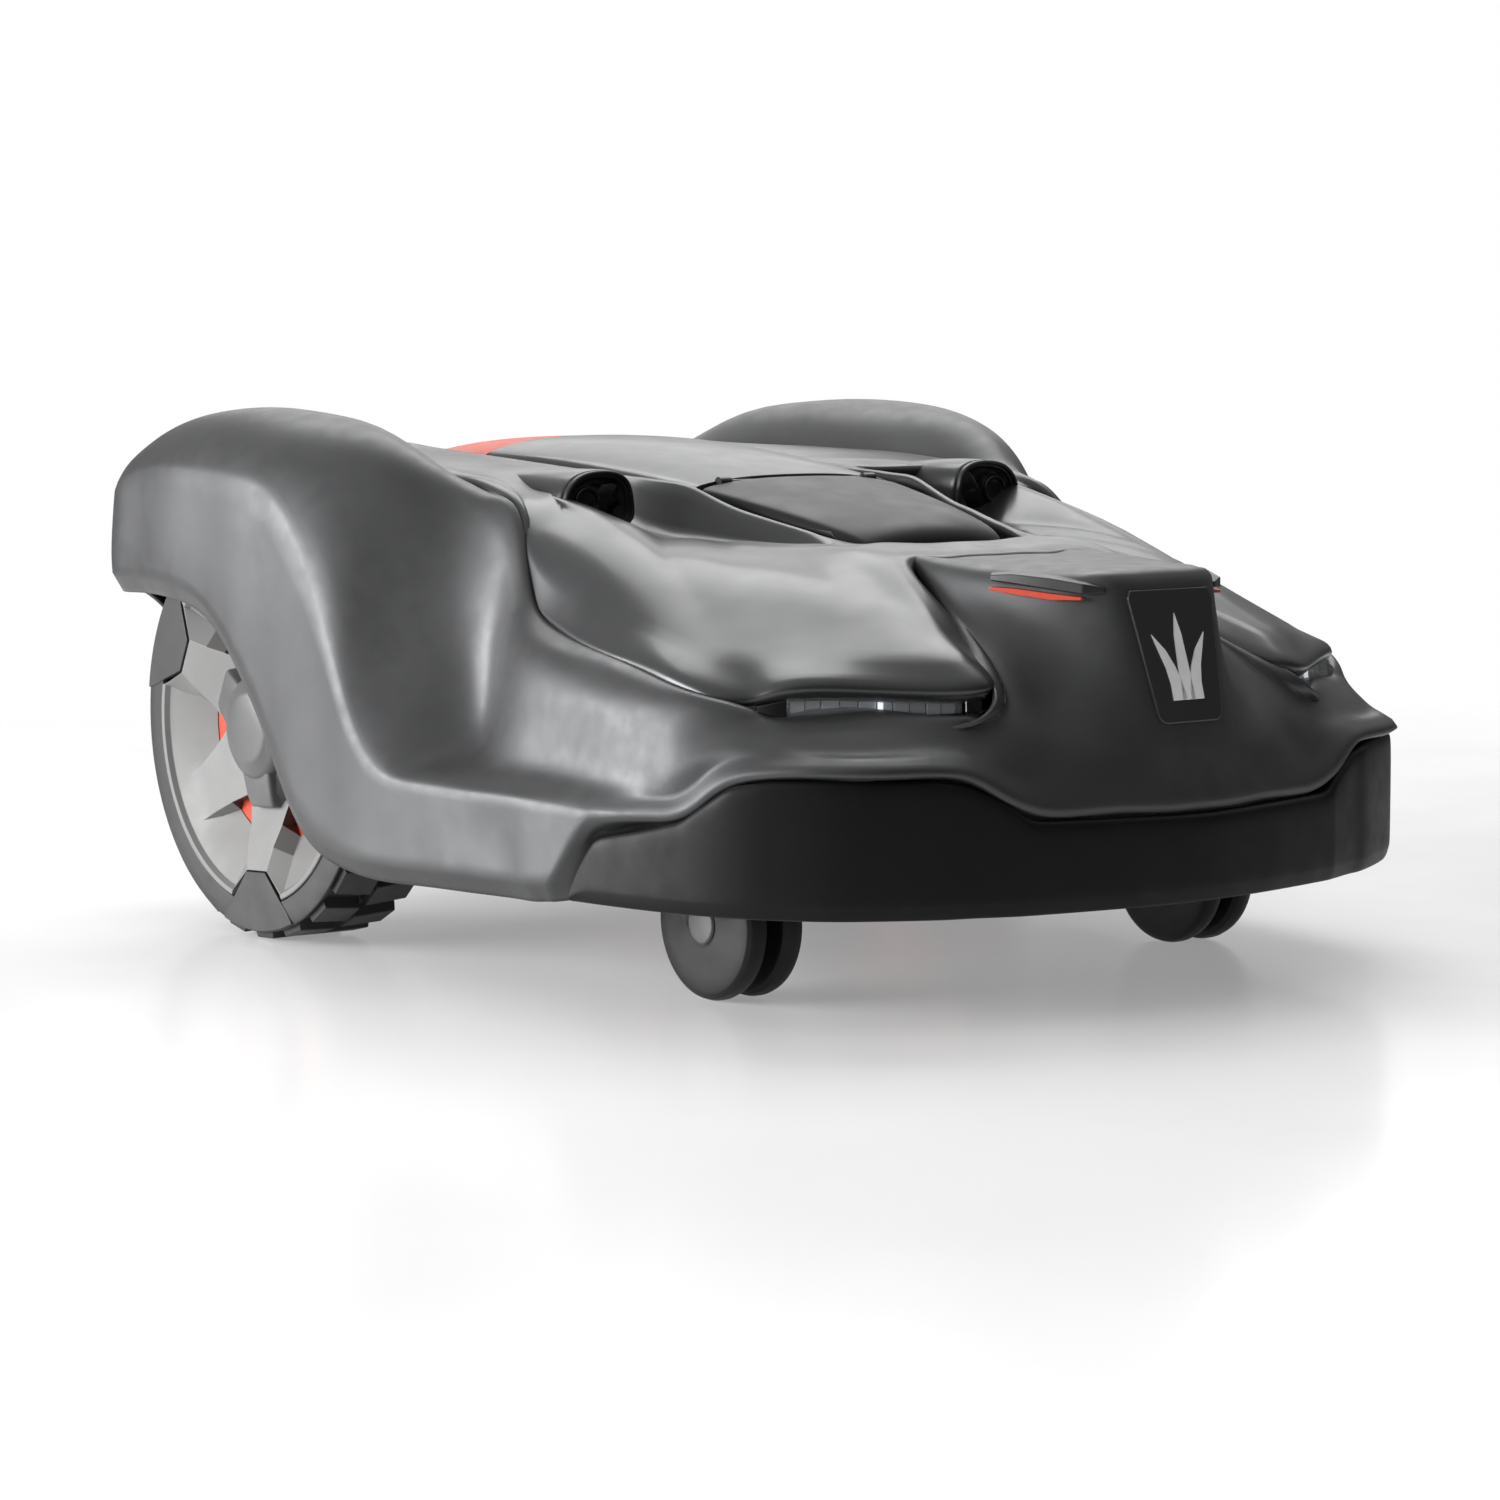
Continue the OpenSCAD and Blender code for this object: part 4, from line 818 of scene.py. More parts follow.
# Contact hoods and the strips below them, from the rear to the front
HOOD_ROWS = [(67, -264, 229.5, 3, 3), (60, -277, 230.5, 6.5, 5), (50, -298, 229, 8, 6), (42, -315, 226.5, 8, 5.5),
             (36, -321, 224.5, 4, 3)]
STRIP_ROWS = [(71.5, -267, 223.5, 1.6), (66, -281, 223, 3.2), (57, -300, 221, 3.4), (49, -315, 219.5, 1.6)]


def nose():
    """Nose plate with a plain badge of three blades of grass, and the two contact hoods with their strips."""
    outline = arc((-17, -28), 6, 180) + arc((17, -28), 6, 270) + [(30, 34), (28, 38), (-28, 38), (-30, 34)]
    moulding("nose_badge_plate", prism(outline, slanted(-2), slanted(1.2)), "shell", "cover_grey", COVER_GREY,
             ["nose_plate"], 0.8, 4)
    blades = [prism(blade_of_grass(*row), slanted(1.0), slanted(1.9))
              for row in ((-13, 36, -6), (0, 47, 0), (13, 36, 6))]
    moulding("nose_badge", joined(*blades), "shell", "badge_white", BADGE, (), 0.25, 2)
    hood = [[(x + wide, y - 2, z - tall), (x + wide, y - 2, z), (x - wide * 0.2, y + 1, z + 1.2),
             (x - wide, y + 3, z + 0.6), (x - wide, y + 3, z - tall)] for x, y, z, wide, tall in HOOD_ROWS]
    strip = [[(x + 1.5, y - 1.5, z - tall), (x + 1.5, y - 1.5, z), (x - 4, y + 2, z), (x - 4, y + 2, z - tall)]
             for x, y, z, tall in STRIP_ROWS]
    for word, side in SIDES.items():
        moulding(f"contact_hood_{word}", on_side(side, loft(hood)), "shell", "dark_plastic", DARK_PLASTIC,
                 ["contact_hoods"], 0.8, 3)
        moulding(f"contact_strip_{word}", on_side(side, loft(strip)), "shell", "signal_orange", ORANGE,
                 ["contact_strips"], 0.4, 2)


nose()


# ---------------------------------------------------------------- sensors on the bonnet
# Face of a sensor pod, from its inner foot over the top to its outer foot, as (x, z)
POD_FACE = [(120.5, 244), (120.8, 258), (122.5, 270.5), (127, 276), (134.5, 279.4), (145, 279.9), (154.5, 278.8),
            (160.5, 276.4), (165, 273), (168.5, 268.6), (170.6, 262.5), (171, 250)]
POD_CENTRE = (146, 260)
POD_FOOT = 244
POD_TOP = 279.9
POD_FRONT = -14
# Hood behind it: y, share of the face's width, height of its top and how far it moves outwards
POD_HOOD = [(-13, 1.0, 279.9, 0), (-4, 1.01, 280.2, 0), (12, 0.98, 280, 0.5), (30, 0.86, 279.2, 1.5),
            (50, 0.62, 277.6, 3), (68, 0.34, 275.6, 4), (80, 0.1, 273.6, 5)]
# Steps of the frame round the face: y from the front, and margin inside the outline
POD_STEPS = [(1, 0.3), (-2.6, 0.3), (-3.4, 1.2), (-3.2, 2.4), (-1.2, 2.8), (-1.2, 4.2), (3, 5.2)]
# Round transducer in two steps, as (radius, y), and its centre as (x, z)
POD_EYE = [(0.05, -13), (6, -13.6), (6.8, -15.2), (8.2, -15.6), (8.8, -15), (9, -13.2), (10.6, -12.8),
           (10.6, -9.5), (0.05, -9.5)]
EYE_CENTRE = (152.6, 261.5)


def pod_outline(y, share, top, drift):
    """The pod's face made narrower and lower, at its own y."""
    middle = POD_CENTRE[0]
    tall = (top - POD_FOOT) / (POD_TOP - POD_FOOT)
    return [(middle + drift + (x - middle) * share, y, POD_FOOT + (z - POD_FOOT) * tall) for x, z in POD_FACE]


def pod_inset(y, margin):
    """The pod's face drawn in by a margin."""
    middle, level = POD_CENTRE
    made = []
    for x, z in POD_FACE:
        reach = math.hypot(x - middle, z - level)
        made.append((x + (middle - x) * margin / reach, y, z + (level - z) * margin / reach))
    return made


def sensors():
    """Sensor pods: hood, black frame open to the front, face of two flats that meet in a ridge, and transducer."""
    columns = len(POD_FACE)
    hood_made = loft([pod_outline(*row) for row in POD_HOOD])
    frame_made = loft([pod_inset(POD_FRONT + y, margin) for y, margin in POD_STEPS])
    ridge = [(130.5, POD_FRONT - 0.6, 273.5), (145.5, POD_FRONT - 0.6, 247)]
    top, foot = columns, columns + 1
    flats = [[top] + list(range(4, columns)) + [foot], [foot, 0, 1, 2, 3, top], [top, 3, 4]]
    face_made = pod_inset(POD_FRONT + 2.4, 4.6) + ridge, flats
    x0, z0 = EYE_CENTRE
    eye_made = spun(POD_EYE, 48, lambda r, y, a: (x0 + r * math.cos(a), y, z0 + r * math.sin(a)), False)
    for word, side in SIDES.items():
        hood = piece(f"sensor_hood_{word}", *on_side(side, hood_made), "shell", "cover_grey", COVER_GREY)
        creased(hood, lambda a, b: 0.7 if a // columns == b // columns == 0 else 0)
        subdivided(hood)
        rim = piece(f"sensor_frame_{word}", *on_side(side, frame_made), "shell", "dark_plastic", DARK_PLASTIC,
                    ["sensor_housings"])
        creased(rim, lambda a, b: 0.75 if a // columns == b // columns else 0)
        subdivided(rim)
        face = piece(f"sensor_face_{word}", *on_side(side, face_made), "shell", "dark_plastic", BLACK_GLOSS)
        walled(face, 1.5)
        moulding(f"sensor_eye_{word}", on_side(side, eye_made), "shell", "dark_plastic", BLACK_GLOSS,
                 ["sensor_transducers"], 0.35, 2)


sensors()


# ---------------------------------------------------------------- console
# Skins over the console. Rows go from front to rear, as (y, half width, side height, crown height, drop).
FASCIA_ROWS = [(-139.5, 44, 224, 224, 0), (-142.4, 47, 227, 229, 0), (-142.8, 48, 230, 235, 0),
               (-141, 51, 236, 242.5, 0), (-134, 54, 241, 249, 0), (-120, 58, 246, 254.5, 0),
               (-90, 63.5, 253, 261, 0), (-60, 68.5, 259, 266.5, 0), (-30, 73, 264.5, 271, 0),
               (-18, 74.6, 266.5, 273.2, 0), (-15.2, 74.8, 266.4, 273.0, 0), (-15, 74.8, 262, 268, 4)]
HATCH_ROWS = [(-9.8, 74.6, 263, 269, 2), (-9.6, 75, 267.5, 274.2, 0), (-7, 75.2, 268, 274.9, 0),
              (20, 77, 271, 280, 0), (60, 80, 275, 286, 0), (110, 82, 279, 291, 0), (150, 83, 281, 293, 0),
              (190, 83, 282, 293, 0), (193.4, 83, 281.8, 292.8, 0), (194, 82.6, 277, 288, 2)]
STOP_ROWS = [(199, 82, 275, 286, 2), (199.6, 82.4, 280, 291.4, 0), (204, 82.8, 280.6, 292.2, 0),
             (222, 83, 280, 292, 0), (250, 82.6, 279, 290.5, 0), (276, 80, 277, 287.4, 0), (292, 73, 275, 283, 0),
             (297.5, 68, 273, 279, 0), (298.5, 66, 270.5, 272, 0)]
# Shares of a row's half width; the crown falls off by a power of them
ACROSS = [-1.0, -1.0, -0.97, -0.9, -0.72, -0.4, 0.0, 0.4, 0.72, 0.9, 0.97, 1.0, 1.0]
CROWN_POWER = 3.2


def console_skin(name, body, slot, finish, stands_for, rows, spread, skirt, lowest, crease, creased_rows):
    """Crowned skin with rounded shoulders and a skirt at both sides that ends at the lowest height."""
    columns = len(ACROSS)
    points = []
    for y, half, low, high, drop in rows:
        for j, s in enumerate(ACROSS):
            z = low + (high - low) * (1 - abs(s) ** CROWN_POWER) - drop
            if j in (0, columns - 1):
                z = low - skirt
            elif j in (1, columns - 2):
                z = low - spread - drop
            points.append((s * half, y, max(z, lowest)))
    thing = piece(name, points, grid_faces(len(rows), columns), body, slot, finish, stands_for, False)
    if sum(f.normal.z * f.area for f in thing.data.polygons) < 0:
        thing.data.flip_normals()
    creased(thing, lambda a, b: crease if a // columns == b // columns and a // columns in creased_rows else 0)
    walled(subdivided(thing, 3), SKIN_WALL)


def console():
    """Fascia, which is the fixed front of the console, hatch and stop button."""
    # The fascia's darker grey is painted shade over the hatch's own grey
    console_skin("fascia_skin", "chassis", "hatch_grey", FASCIA_SHADED_GREY, ["front_fascia"], FASCIA_ROWS, 5, 12, 224,
                 0.8, [10])
    console_skin("hatch_skin", "hatch_lid", "hatch_grey", HATCH_GREY, ["hatch"], HATCH_ROWS, 4, 8, 262, 0.85, [1, 8])
    console_skin("stop_skin", "stop", "signal_orange", ORANGE, ["stop_button"], STOP_ROWS, 4, 8, 271, 0.85, [1])


def gasket():
    """Black rubber lip round the back of the console, which closes the gap under the cover."""
    half = [(85.2, 45), (85.2, 150), (85.2, 294), (84.4, 298.5), (80, 300.8), (40, 301), (0, 301)]
    path = half + [(-x, y) for x, y in half[-2::-1]]
    profile = ((0, 256), (0, 259), (4, 259), (18, 252), (18, 250), (3, 256))
    sections = []
    for k, (x, y) in enumerate(path):
        before, after = path[max(k - 1, 0)], path[min(k + 1, len(path) - 1)]
        along = Vector((after[0] - before[0], after[1] - before[1])).normalized()
        out = Vector((along.y, -along.x))
        sections.append([(x + out.x * d, y + out.y * d, z) for d, z in profile])
    moulding("console_gasket", loft(sections), "chassis", "black_rubber", BUMPER_BLACK, (), 0.6, 2)


console()
gasket()


# ---------------------------------------------------------------- driving wheels
# How far out along X the cover's highest rim stands; its depths below are measured inwards from there
COVER_OUT = 266
# The cover has three wedge spokes, at these angles, and three plain ones halfway between them
WEDGE_AXES = (30, 150, 270)
HALF_PITCH = 60
# A panel lies between these angles from a wedge spoke, down to the window, whose apex has a radius and a depth
PANEL_START, PANEL_END = 15.8, 50.4
APEX_R, APEX_DEPTH = 46.0, 14.0
# The wedge spoke's outer end: along it, half its width and its depth
WEDGE_END = (84.3, 11.2, 1.2)
# Rails of the panel beside either spoke, from the rim down to the window, as (radius, angle, depth)
WEDGE_RAIL = [(98.6, PANEL_START, 3.2), (90.0, PANEL_START + 1.2, 7.2), (79, 17.4, 13), (68, 19, 19)]
PLAIN_RAIL = [(98.6, PANEL_END, 3.2), (90.0, PANEL_END, 7.2), (79, 46.2, 13), (68, 41.5, 19)]
# The cover's rim, as (radius, depth): back, outer edge, lip and foot of its fillet
RIM_ROWS = [(COVER_R, 8), (COVER_R, 0.5), (103.4, 0), (100.6, 0.2), (98.6, 3.2)]


def on_wheel(side):
    """Turns (radius, angle, out) into a place on the wheel of one side; out is measured along X."""
    def place(r, angle, x):
        a = math.radians(angle + WHEEL_TURN)
        return (side * x, WHEEL_CENTRE[0] - r * math.cos(a), WHEEL_CENTRE[1] + r * math.sin(a))
    return place


def polar(p, q):
    """Radius and angle of the point p along an axis and q across it."""
    return math.hypot(p, q), math.degrees(math.atan2(q, p))


def cover_unit(axis, hand, side):
    """A sixth of the dished cover: half a wedge spoke, the panel beside it with its window, and half a plain spoke."""
    at = on_wheel(side)

    def polar_place(r, phi, depth):
        return at(r, axis + hand * phi, COVER_OUT - depth)

    def on_wedge(p, q, depth):
        r, phi = polar(p, q)
        return polar_place(r, phi, depth)

    def on_plain(p, q, depth):
        r, off = polar(p, q)
        return polar_place(r, HALF_PITCH - off, depth)

    points, faces, dark = [], [], []

    def strip(row_a, row_b, is_painted_shade=False):
        """Faces between two rows of places of equal length."""
        base, n = len(points), len(row_a)
        points.extend(row_a + row_b)
        for k in range(n - 1):
            dark.append(is_painted_shade)
            faces.append([base + k, base + k + 1, base + n + k + 1, base + n + k])

    def patch(outline):
        """One face with its own points."""
        base = len(points)
        points.extend(outline)
        dark.append(False)
        faces.append(list(range(base, base + len(outline))))

    # Rim, over the panel's columns and a few more to the plain spoke's middle
    columns, more = 8, 4
    angles = [PANEL_START + (PANEL_END - PANEL_START) * k / columns for k in range(columns + 1)]
    angles += [PANEL_END + (HALF_PITCH - PANEL_END) * k / more for k in range(1, more + 1)]
    rim = [[polar_place(r, a, depth) for a in angles] for r, depth in RIM_ROWS]
    for upper, lower in zip(rim, rim[1:]):
        strip(upper, lower)
    outer_back, outer, lip_a, lip_b, foot = rim

    # Panel between the rim and the window
    rows = [foot[: columns + 1]]
    for a, b in list(zip(WEDGE_RAIL, PLAIN_RAIL))[1:]:
        rows.append([polar_place(*lerp(a, b, k / columns)) for k in range(columns + 1)])
    for upper, lower in zip(rows, rows[1:]):
        strip(upper, lower)
    # The channel past the end of the plain spoke
    end_r, end_depth = PLAIN_RAIL[1][0], PLAIN_RAIL[1][2]
    half_turn = math.radians(HALF_PITCH - PANEL_END)
    spoke_half = end_r * math.sin(half_turn)
    spoke_end = [on_plain(end_r * math.cos(half_turn), spoke_half * (1 - k / more), end_depth) for k in range(more + 1)]
    strip(foot[columns:], spoke_end)

    # Wedge spoke: its top, and the wall down to the panel
    apex = polar_place(APEX_R, HALF_PITCH / 2, APEX_DEPTH)
    end_p, end_q, _ = WEDGE_END
    corner = on_wedge(*WEDGE_END)
    edge = [corner, on_wedge(70, 14.6, 4.6), on_wedge(57, 17.8, 9.6), apex]
    middle = [on_wedge(end_p, 0, 1.2), on_wedge(70, 0, 4.6), on_wedge(57, 0, 9.6),
              on_wedge(APEX_R * 0.866, 0, APEX_DEPTH)]
    strip(edge, middle)
    strip([apex, middle[-1]], [on_wedge(22, 12.7, 17), on_wedge(22, 0, 17)])
    patch([lip_b[0], foot[0], rows[1][0], corner])
    patch([corner, rows[1][0], rows[2][0], edge[1]])
    patch([edge[1], rows[2][0], rows[3][0], edge[2]])
    # Rim's edge beside the tyre's insert, and the spoke's end against it
    corner_back = on_wedge(end_p, end_q, 9)
    patch([outer[0], outer_back[0], corner_back, corner, lip_b[0], lip_a[0]])
    patch([corner, corner_back, on_wedge(end_p, 0, 9), middle[0]])

    # Plain spoke
    plain_edge = [spoke_end[0], on_plain(76, 16.0, 9.0), on_plain(60, 18.4, 11.6), apex]
    plain_mid = [spoke_end[-1], on_plain(76, 0, 9.0), on_plain(60, 0, 11.6), on_plain(APEX_R * 0.866, 0, APEX_DEPTH)]
    strip(plain_edge[1:], plain_mid[1:])
    patch(spoke_end + [plain_mid[1], plain_edge[1]])
    strip([apex, plain_mid[-1]], [on_plain(22, 12.7, 17), on_plain(22, 0, 17)])
    patch([plain_edge[0], rows[2][-1], plain_edge[1]])
    patch([plain_edge[1], rows[2][-1], rows[3][-1], plain_edge[2]])

    # Window: its walls go down into the dark; they take the dark plastic as painted shade inside the silver cover
    def deeper(place, depth):
        return (place[0] - side * depth, place[1], place[2])

    strip(rows[3], [deeper(p, 3) for p in rows[3]], True)
    for line in ([rows[3][0], edge[2], apex], [rows[3][-1], plain_edge[2], apex]):
        strip(line, [deeper(p, 8 if k else 3) for k, p in enumerate(line)], True)
    if hand * side < 0:
        faces = [f[::-1] for f in faces]
    return points, faces, dark


def wheel_cover(word, side):
    """Silver cover of a driving wheel with three wedge spokes, three plain ones and six windows, whose walls are dark
    plastic as painted shade.
    """
    units = [cover_unit(axis, hand, side) for axis in WEDGE_AXES for hand in (1, -1)]
    dark = [is_painted_shade for unit in units for is_painted_shade in unit[2]]
    thing = piece(f"spoke_cover_{word}", *joined(*[unit[:2] for unit in units]), f"{word}_wheel", "wheel_silver",
                  [SILVER, DARK_PLASTIC], [f"wheel_cover_{word}"], False)
    work = bmesh.new()
    work.from_mesh(thing.data)
    for face, is_painted_shade in zip(work.faces, dark):
        face.material_index = 1 if is_painted_shade else 0
    bmesh.ops.remove_doubles(work, verts=work.verts, dist=0.00005)
    bmesh.ops.recalc_face_normals(work, faces=work.faces)
    outward = sum(f.normal.x * f.calc_area() for f in work.faces if f.material_index == 0) * side
    if outward < 0:
        bmesh.ops.reverse_faces(work, faces=work.faces)
    work.to_mesh(thing.data)
    work.free()
    thing.data.shade_smooth()
    rounded(thing, 0.7, 2, 18)


# Tread lugs: half their angle at the foot and at the top, slope of their ends, and the ends along X
LUG_FOOT, LUG_TOP = 5.4, 4.2
LUG_SLOPE = 1.2
LUG_ENDS = (206, 234, 262)
LUG_SHIFT = 2.0
# Tyre's section, as (radius, out)
TYRE_PROFILE = [(98, 208), (108, 205), (114, 206), (117.5, 212), (118, 220), (118, 250), (118, 258), (120.6, 262.5),
                (SIDEWALL_R - 0.6, 264.2), (117, 265), (112, 265.2), (104.6, 265.2), (104.3, 264), (104.3, 258),
                (98, 258)]
# Rubber wedges that cut into the cover: the radius of their crown, half its angle, and where they stand along X
WEDGE_CROWN = (SIDEWALL_R - 1.2, 18.9)
WEDGE_OUT = (261, 265.8)


def lug(side, angle, inner, outer, shift):
    """A chunky tread lug with sloped flanks; its inner end is turned by the shift."""
    at = on_wheel(side)
    low, high = TYRE_R - 9, TYRE_R - 0.2
    made = []
    for x, top_x, turn in ((inner, inner + LUG_SLOPE, shift), (outer, outer - LUG_SLOPE, 0)):
        middle = angle + turn
        made.append([at(low, middle - LUG_FOOT, x), at(high, middle - LUG_TOP, top_x),
                     at(high, middle + LUG_TOP, top_x), at(low, middle + LUG_FOOT, x)])
    return loft(made)


def turned_on(at, profile, steps, inwards=0):
    """A (radius, out) profile turned round the wheel's axle, moved inwards."""
    return spun(profile, steps, lambda r, x, a: at(r, math.degrees(a), x - inwards))


def tyre(word, side):
    """Tyre carcass with two staggered rows of lugs, and the rubber wedges that cut into the cover."""
    at = on_wheel(side)
    body = f"{word}_wheel"
    moulding(f"tyre_carcass_{word}", turned_on(at, TYRE_PROFILE, 144), body, "tyre_rubber", TYRE_RUBBER,
             [f"tyre_{word}"], 0.8, 2)
    lugs = []
    pitch = 360 / LUGS
    inner, half_way, outer = LUG_ENDS
    for k in range(LUGS):
        lugs.append(lug(side, k * pitch, half_way, outer, -LUG_SHIFT))
        lugs.append(lug(side, (k + 0.5) * pitch, inner, half_way, LUG_SHIFT))
    moulding(f"tread_lugs_{word}", joined(*lugs), body, "tyre_rubber", TREAD_RUBBER, (), 0.8, 2)
    crown_r, crown_turn = WEDGE_CROWN
    wedges = []
    for axis in WEDGE_AXES:
        shape = [polar(84.9, 10.6), polar(100, 25.6), (112, 17.4), WEDGE_CROWN]
        right = [(r, axis - phi) for r, phi in shape]
        left = [(r, axis + phi) for r, phi in shape[::-1]]
        crown = [(crown_r, axis - crown_turn + 2 * crown_turn * k / 12) for k in range(1, 12)]
        wedges.append(prism(right + crown + left, *[lambda p, x=x: at(*p, x) for x in WEDGE_OUT]))
    moulding(f"tyre_wedges_{word}", joined(*wedges), body, "tyre_rubber", TYRE_RUBBER, (), 0.7, 3)


# Hub cap: section of its dome as (radius, out), and how far it stands inwards of that
HUB_DOME = [(12, 250), (30, 250), (31, 252), (31, 263), (30, 266), (27, 268.2), (23, 269.4), (21.5, 270.6),
            (19, 271.4), (10, 272), (0.05, 272.2), (0.05, 255), (12, 255)]
HUB_IN = 3
# Its arms, as (along, half width, top), and the dark wedges of painted shade on one side of each, as (along, near, far,
# top)
HUB_ARM = [(26, 15, 266.5), (40, 14, 264.5), (47, 12.5, 262.5)]
HUB_PAINTED_SHADE = [(24, 10, 24, 262), (38, 12, 21, 260.5), (46, 12, 15, 259)]
HUB_FOOT = 250
BRAKE_RING = [(30, 240), (90, 240), (92, 241), (92, 245.5), (90, 246.5), (30, 246.5)]


def hub_cap(word, side):
    """Hub cap with three arms, dark plastic wedges of painted shade beside them, and the red disc behind the windows.
    """
    at = on_wheel(side)
    body = f"{word}_wheel"

    def section(axis, p, shape):
        """Places at p along an arm's axis, from (across, out) pairs."""
        made = []
        for q, x in shape:
            r, turn = polar(p, q)
            made.append(at(r, turn + axis, x - HUB_IN))
        return made

    moulding(f"hub_dome_{word}", turned_on(at, HUB_DOME, 72, HUB_IN), body, "hub_grey", HUB_GREY,
             [f"hub_cap_{word}"], 0.5, 2, 40)
    arms, shades = [], []
    for axis in WEDGE_AXES:
        arms.append(loft([section(axis, p, [
            (-half - 2, HUB_FOOT), (-half, top - 1), (-half + 2.5, top), (half - 2.5, top), (half, top - 1),
            (half + 2, HUB_FOOT)]) for p, half, top in HUB_ARM]))
        shades.append(loft([section(axis, p, [
            (near, HUB_FOOT), (near, top + 2), (far, top - 4), (far + 1, HUB_FOOT)])
            for p, near, far, top in HUB_PAINTED_SHADE]))
    moulding(f"hub_arms_{word}", joined(*arms), body, "hub_grey", HUB_GREY, (), 1.2, 3, 25)
    moulding(f"hub_painted_shades_{word}", joined(*shades), body, "dark_plastic", DARK_PLASTIC, (), 0.6, 2, 25)
    moulding(f"brake_ring_{word}", turned_on(at, BRAKE_RING, 96), body, "signal_orange", ORANGE,
             [f"brake_disc_{word}"], 0.4, 2)


for word, side in SIDES.items():
    wheel_cover(word, side)
    tyre(word, side)
    hub_cap(word, side)


# ---------------------------------------------------------------- casters
# Sections of a caster wheel's tyre and cap, as (radius, distance from the middle between the twin wheels)
CASTER_TYRE = [(6, 4.6), (34, 4.6), (38.5, 5.2), (41, 7.2), (CASTER_R, 10.5), (CASTER_R, 13.5), (41, 16.8),
               (38.6, 18.6), (35, 19.4), (27, 19.9), (12.6, 20.3), (12.0, 19.2), (6, 19.2)]
CASTER_CAP = [(0.05, 21.4), (7, 21.2), (10.2, 20.8), (11.2, 19.8), (11.2, 17), (0.05, 17)]


def twins(profile, steps, closed=True):
    """The same turned solid on both twin wheels of the left caster."""
    x0, y0, z0 = CASTER
    return joined(*[
        spun(profile, steps, lambda r, t, a: (x0 + hand * t, y0 + r * math.cos(a), z0 + r * math.sin(a)), closed)
        for hand in (-1, 1)])


def casters():
    """Tyres and caps of the twin-wheel casters."""
    for word, side in SIDES.items():
        body = f"{word}_caster_wheel"
        # Darker copy of the tyre rubber: painted shade under the machine
        moulding(f"caster_tyres_{word}", on_side(side, twins(CASTER_TYRE, 72)), body, "tyre_rubber", CASTER_SHADED_RUBBER,
                 [f"caster_wheel_{word}"], 0.7, 2, 20)
        moulding(f"caster_cap_{word}", on_side(side, twins(CASTER_CAP, 48, False)), body, "dark_plastic", HUB_GREY,
                 (), 0.5, 2)


casters()


# ---------------------------------------------------------------- materials of the CAD pieces that stay
FINISHES = [
    (CHASSIS, "chassis_tub skid_plate"),
    (DARK_PLASTIC, "upper_chassis keypad_panel hatch_pin cutter_carriage caster_fork_left caster_fork_right"
                   " cover_sockets"),
    (BUMPER_BLACK, "chassis_seal post_bases post_stems"),
    (BATTERY, "battery_pack"),
    (BOARD, "main_circuit_board"),
    (GLASS, "display_panel"),
    (MOTOR_METAL, "wheel_motor_left wheel_motor_right height_motor cutter_motor"),
    (BUSH, "caster_bushes"),
    (STEEL, "chassis_screws height_screw cutter_shaft blade_screws blade_1 blade_2 blade_3 skid_bearing"
            " wheel_axle_left wheel_axle_right post_heads"),
    (ORANGE, "blade_disc"),
    (KEY_GREY, "key_up key_down key_ok key_back key_start"),
]
for finish, names in FINISHES:
    for name in names.split():
        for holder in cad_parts[name].material_slots:
            holder.material = finish


# ---------------------------------------------------------------- stage, light and camera
def soft_light(name, place, aim, size, power):
    """A large rectangular lamp that faces a point, in metres and watts."""
    lamp = bpy.data.lights.new(name, "AREA")
    lamp.shape = "RECTANGLE"
    lamp.size, lamp.size_y = size
    lamp.energy = power
    light = bpy.data.objects.new(name, lamp)
    bpy.context.scene.collection.objects.link(light)
    light.location = place
    light.rotation_euler = (Vector(aim) - Vector(place)).to_track_quat("-Z", "Y").to_euler()


def facing(tree, direction, axis, start, end, low, high):
    """A smooth value from low to high as the direction turns towards an axis."""
    dot = added(tree, "ShaderNodeVectorMath", {0: direction, 1: axis})
    dot.operation = "DOT_PRODUCT"
    return ranged(tree, dot.outputs["Value"], low, high, start, end, "SMOOTHSTEP")


def studio():
    """Soft light from above and from the machine's right, dim in front, on a white backdrop."""
    world = bpy.data.worlds.new("studio")
    world.use_nodes = True
    tree = world.node_tree
    place = added(tree, "ShaderNodeTexCoord").outputs["Generated"]
    above = facing(tree, place, (0, 0, 1), 0.0, 0.9, 0.1, 0.7)
    front = facing(tree, place, (0.25, -0.97, 0), 0.1, 0.8, 1.0, 0.25)
    light = added(tree, "ShaderNodeMath", {0: above, 1: front})
    light.operation = "MULTIPLY"
    seen = added(tree, "ShaderNodeLightPath").outputs["Is Camera Ray"]
    power = added(tree, "ShaderNodeMix", {"Factor": seen, "A": light.outputs["Value"], "B": 1.0})
    join(tree, tree.nodes["Background"], {"Strength": power.outputs["Result"], "Color": (1, 1, 1, 1)})
    bpy.context.scene.world = world


# Floor: its radius, the distances from the middle between which it fades, in metres, its corners, and its own light
FLOOR_REACH = 4
FLOOR_FADE = (0.7, 1.7)
FLOOR_STEPS = 64
FLOOR_GLOW = 0.28


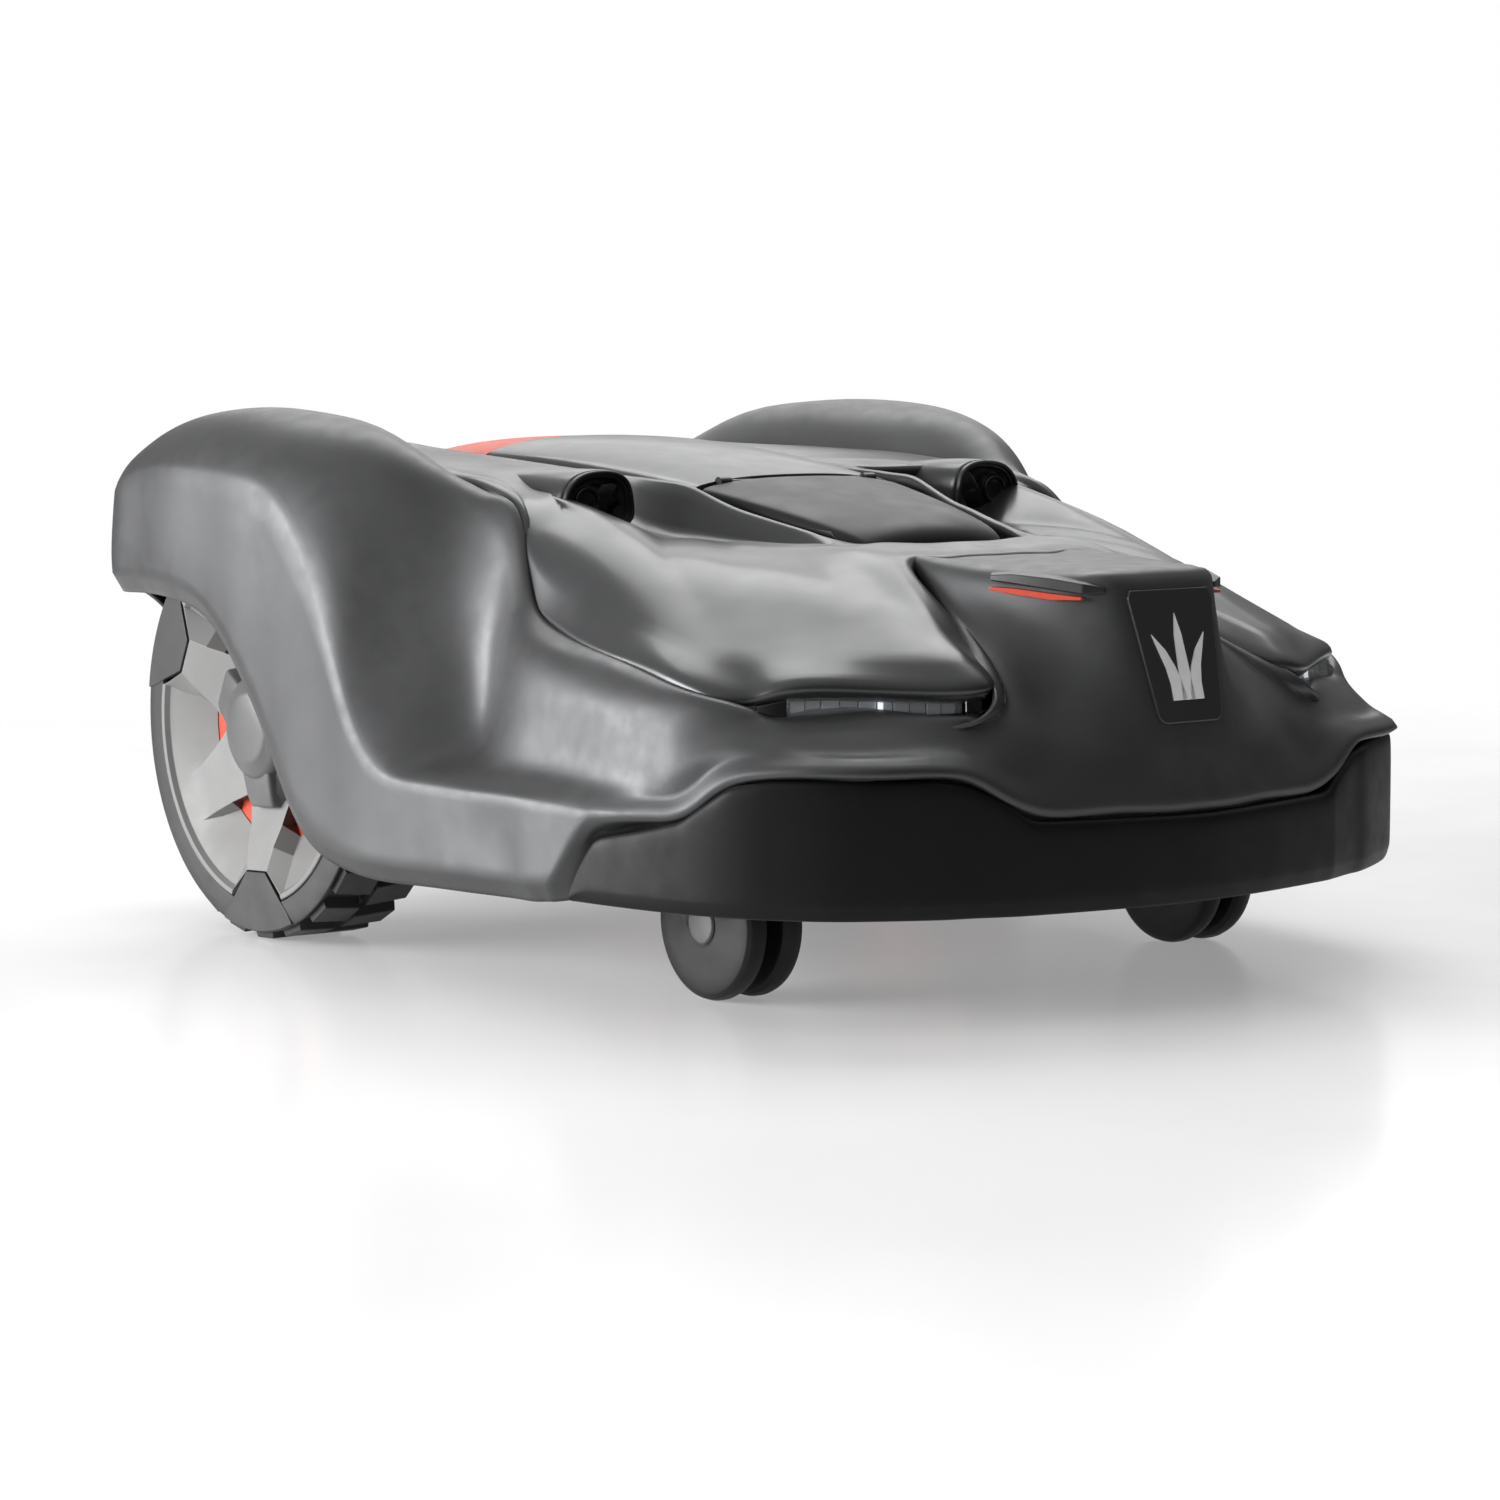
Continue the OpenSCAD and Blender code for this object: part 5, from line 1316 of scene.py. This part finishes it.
def floor():
    """A pale round floor that fades into the backdrop."""
    turns = [2 * math.pi * k / FLOOR_STEPS for k in range(FLOOR_STEPS)]
    mesh = bpy.data.meshes.new("floor")
    mesh.from_pydata([(FLOOR_REACH * math.cos(a), FLOOR_REACH * math.sin(a), 0) for a in turns], [],
                     [list(range(FLOOR_STEPS))])
    material = moulded("floor_pale", (0.8, 0.8, 0.8), 0.2, 40, 0.0001, 0.02, 0.005, 3)
    tree = material.node_tree
    shader = tree.nodes["Principled BSDF"]
    place = added(tree, "ShaderNodeTexCoord").outputs["Object"]
    length = added(tree, "ShaderNodeVectorMath", {0: place})
    length.operation = "LENGTH"
    fade = ranged(tree, length.outputs["Value"], 0, 1, *FLOOR_FADE, "SMOOTHSTEP")
    clear = added(tree, "ShaderNodeBsdfTransparent").outputs["BSDF"]
    mix = added(tree, "ShaderNodeMixShader", {"Fac": fade, 1: shader.outputs["BSDF"], 2: clear})
    join(tree, tree.nodes["Material Output"], {"Surface": mix.outputs["Shader"]})
    join(tree, shader, {"Emission Color": (1, 1, 1, 1), "Emission Strength": FLOOR_GLOW})
    mesh.materials.append(material)
    ground = bpy.data.objects.new("floor", mesh)
    bpy.context.scene.collection.objects.link(ground)


# Camera that was fitted to the photograph: place in metres, degrees below the horizon and round Z, and lens
CAMERA_PLACE = (-1.4625, -1.8656, 0.3606)
CAMERA_DOWN = 6.048
CAMERA_TURN = -37.606
LENS_LENGTH = 96
SENSOR_WIDTH = 36


def stage():
    """Pale floor, soft lights, and the camera, which looks a little down at the machine's right front corner."""
    floor()
    studio()
    soft_light("overhead", (1.0, 1.5, 2.6), (0, 0.1, 0.2), (2.6, 1.8), 62)
    soft_light("flank", (-2.5, 1.3, 0.6), (-0.2, 0.05, 0.15), (2.4, 0.9), 120)
    soft_light("rear", (1.9, 2.4, 1.3), (0, 0, 0.2), (2.2, 1.0), 10)

    lens = bpy.data.cameras.new("camera")
    lens.lens, lens.sensor_width = LENS_LENGTH, SENSOR_WIDTH
    lens.clip_end = 100
    camera = bpy.data.objects.new("camera", lens)
    bpy.context.scene.collection.objects.link(camera)
    camera.location = CAMERA_PLACE
    camera.rotation_euler = (math.radians(90 - CAMERA_DOWN), 0, math.radians(CAMERA_TURN))
    bpy.context.scene.camera = camera
    bpy.context.scene.view_settings.view_transform = "Standard"


stage()
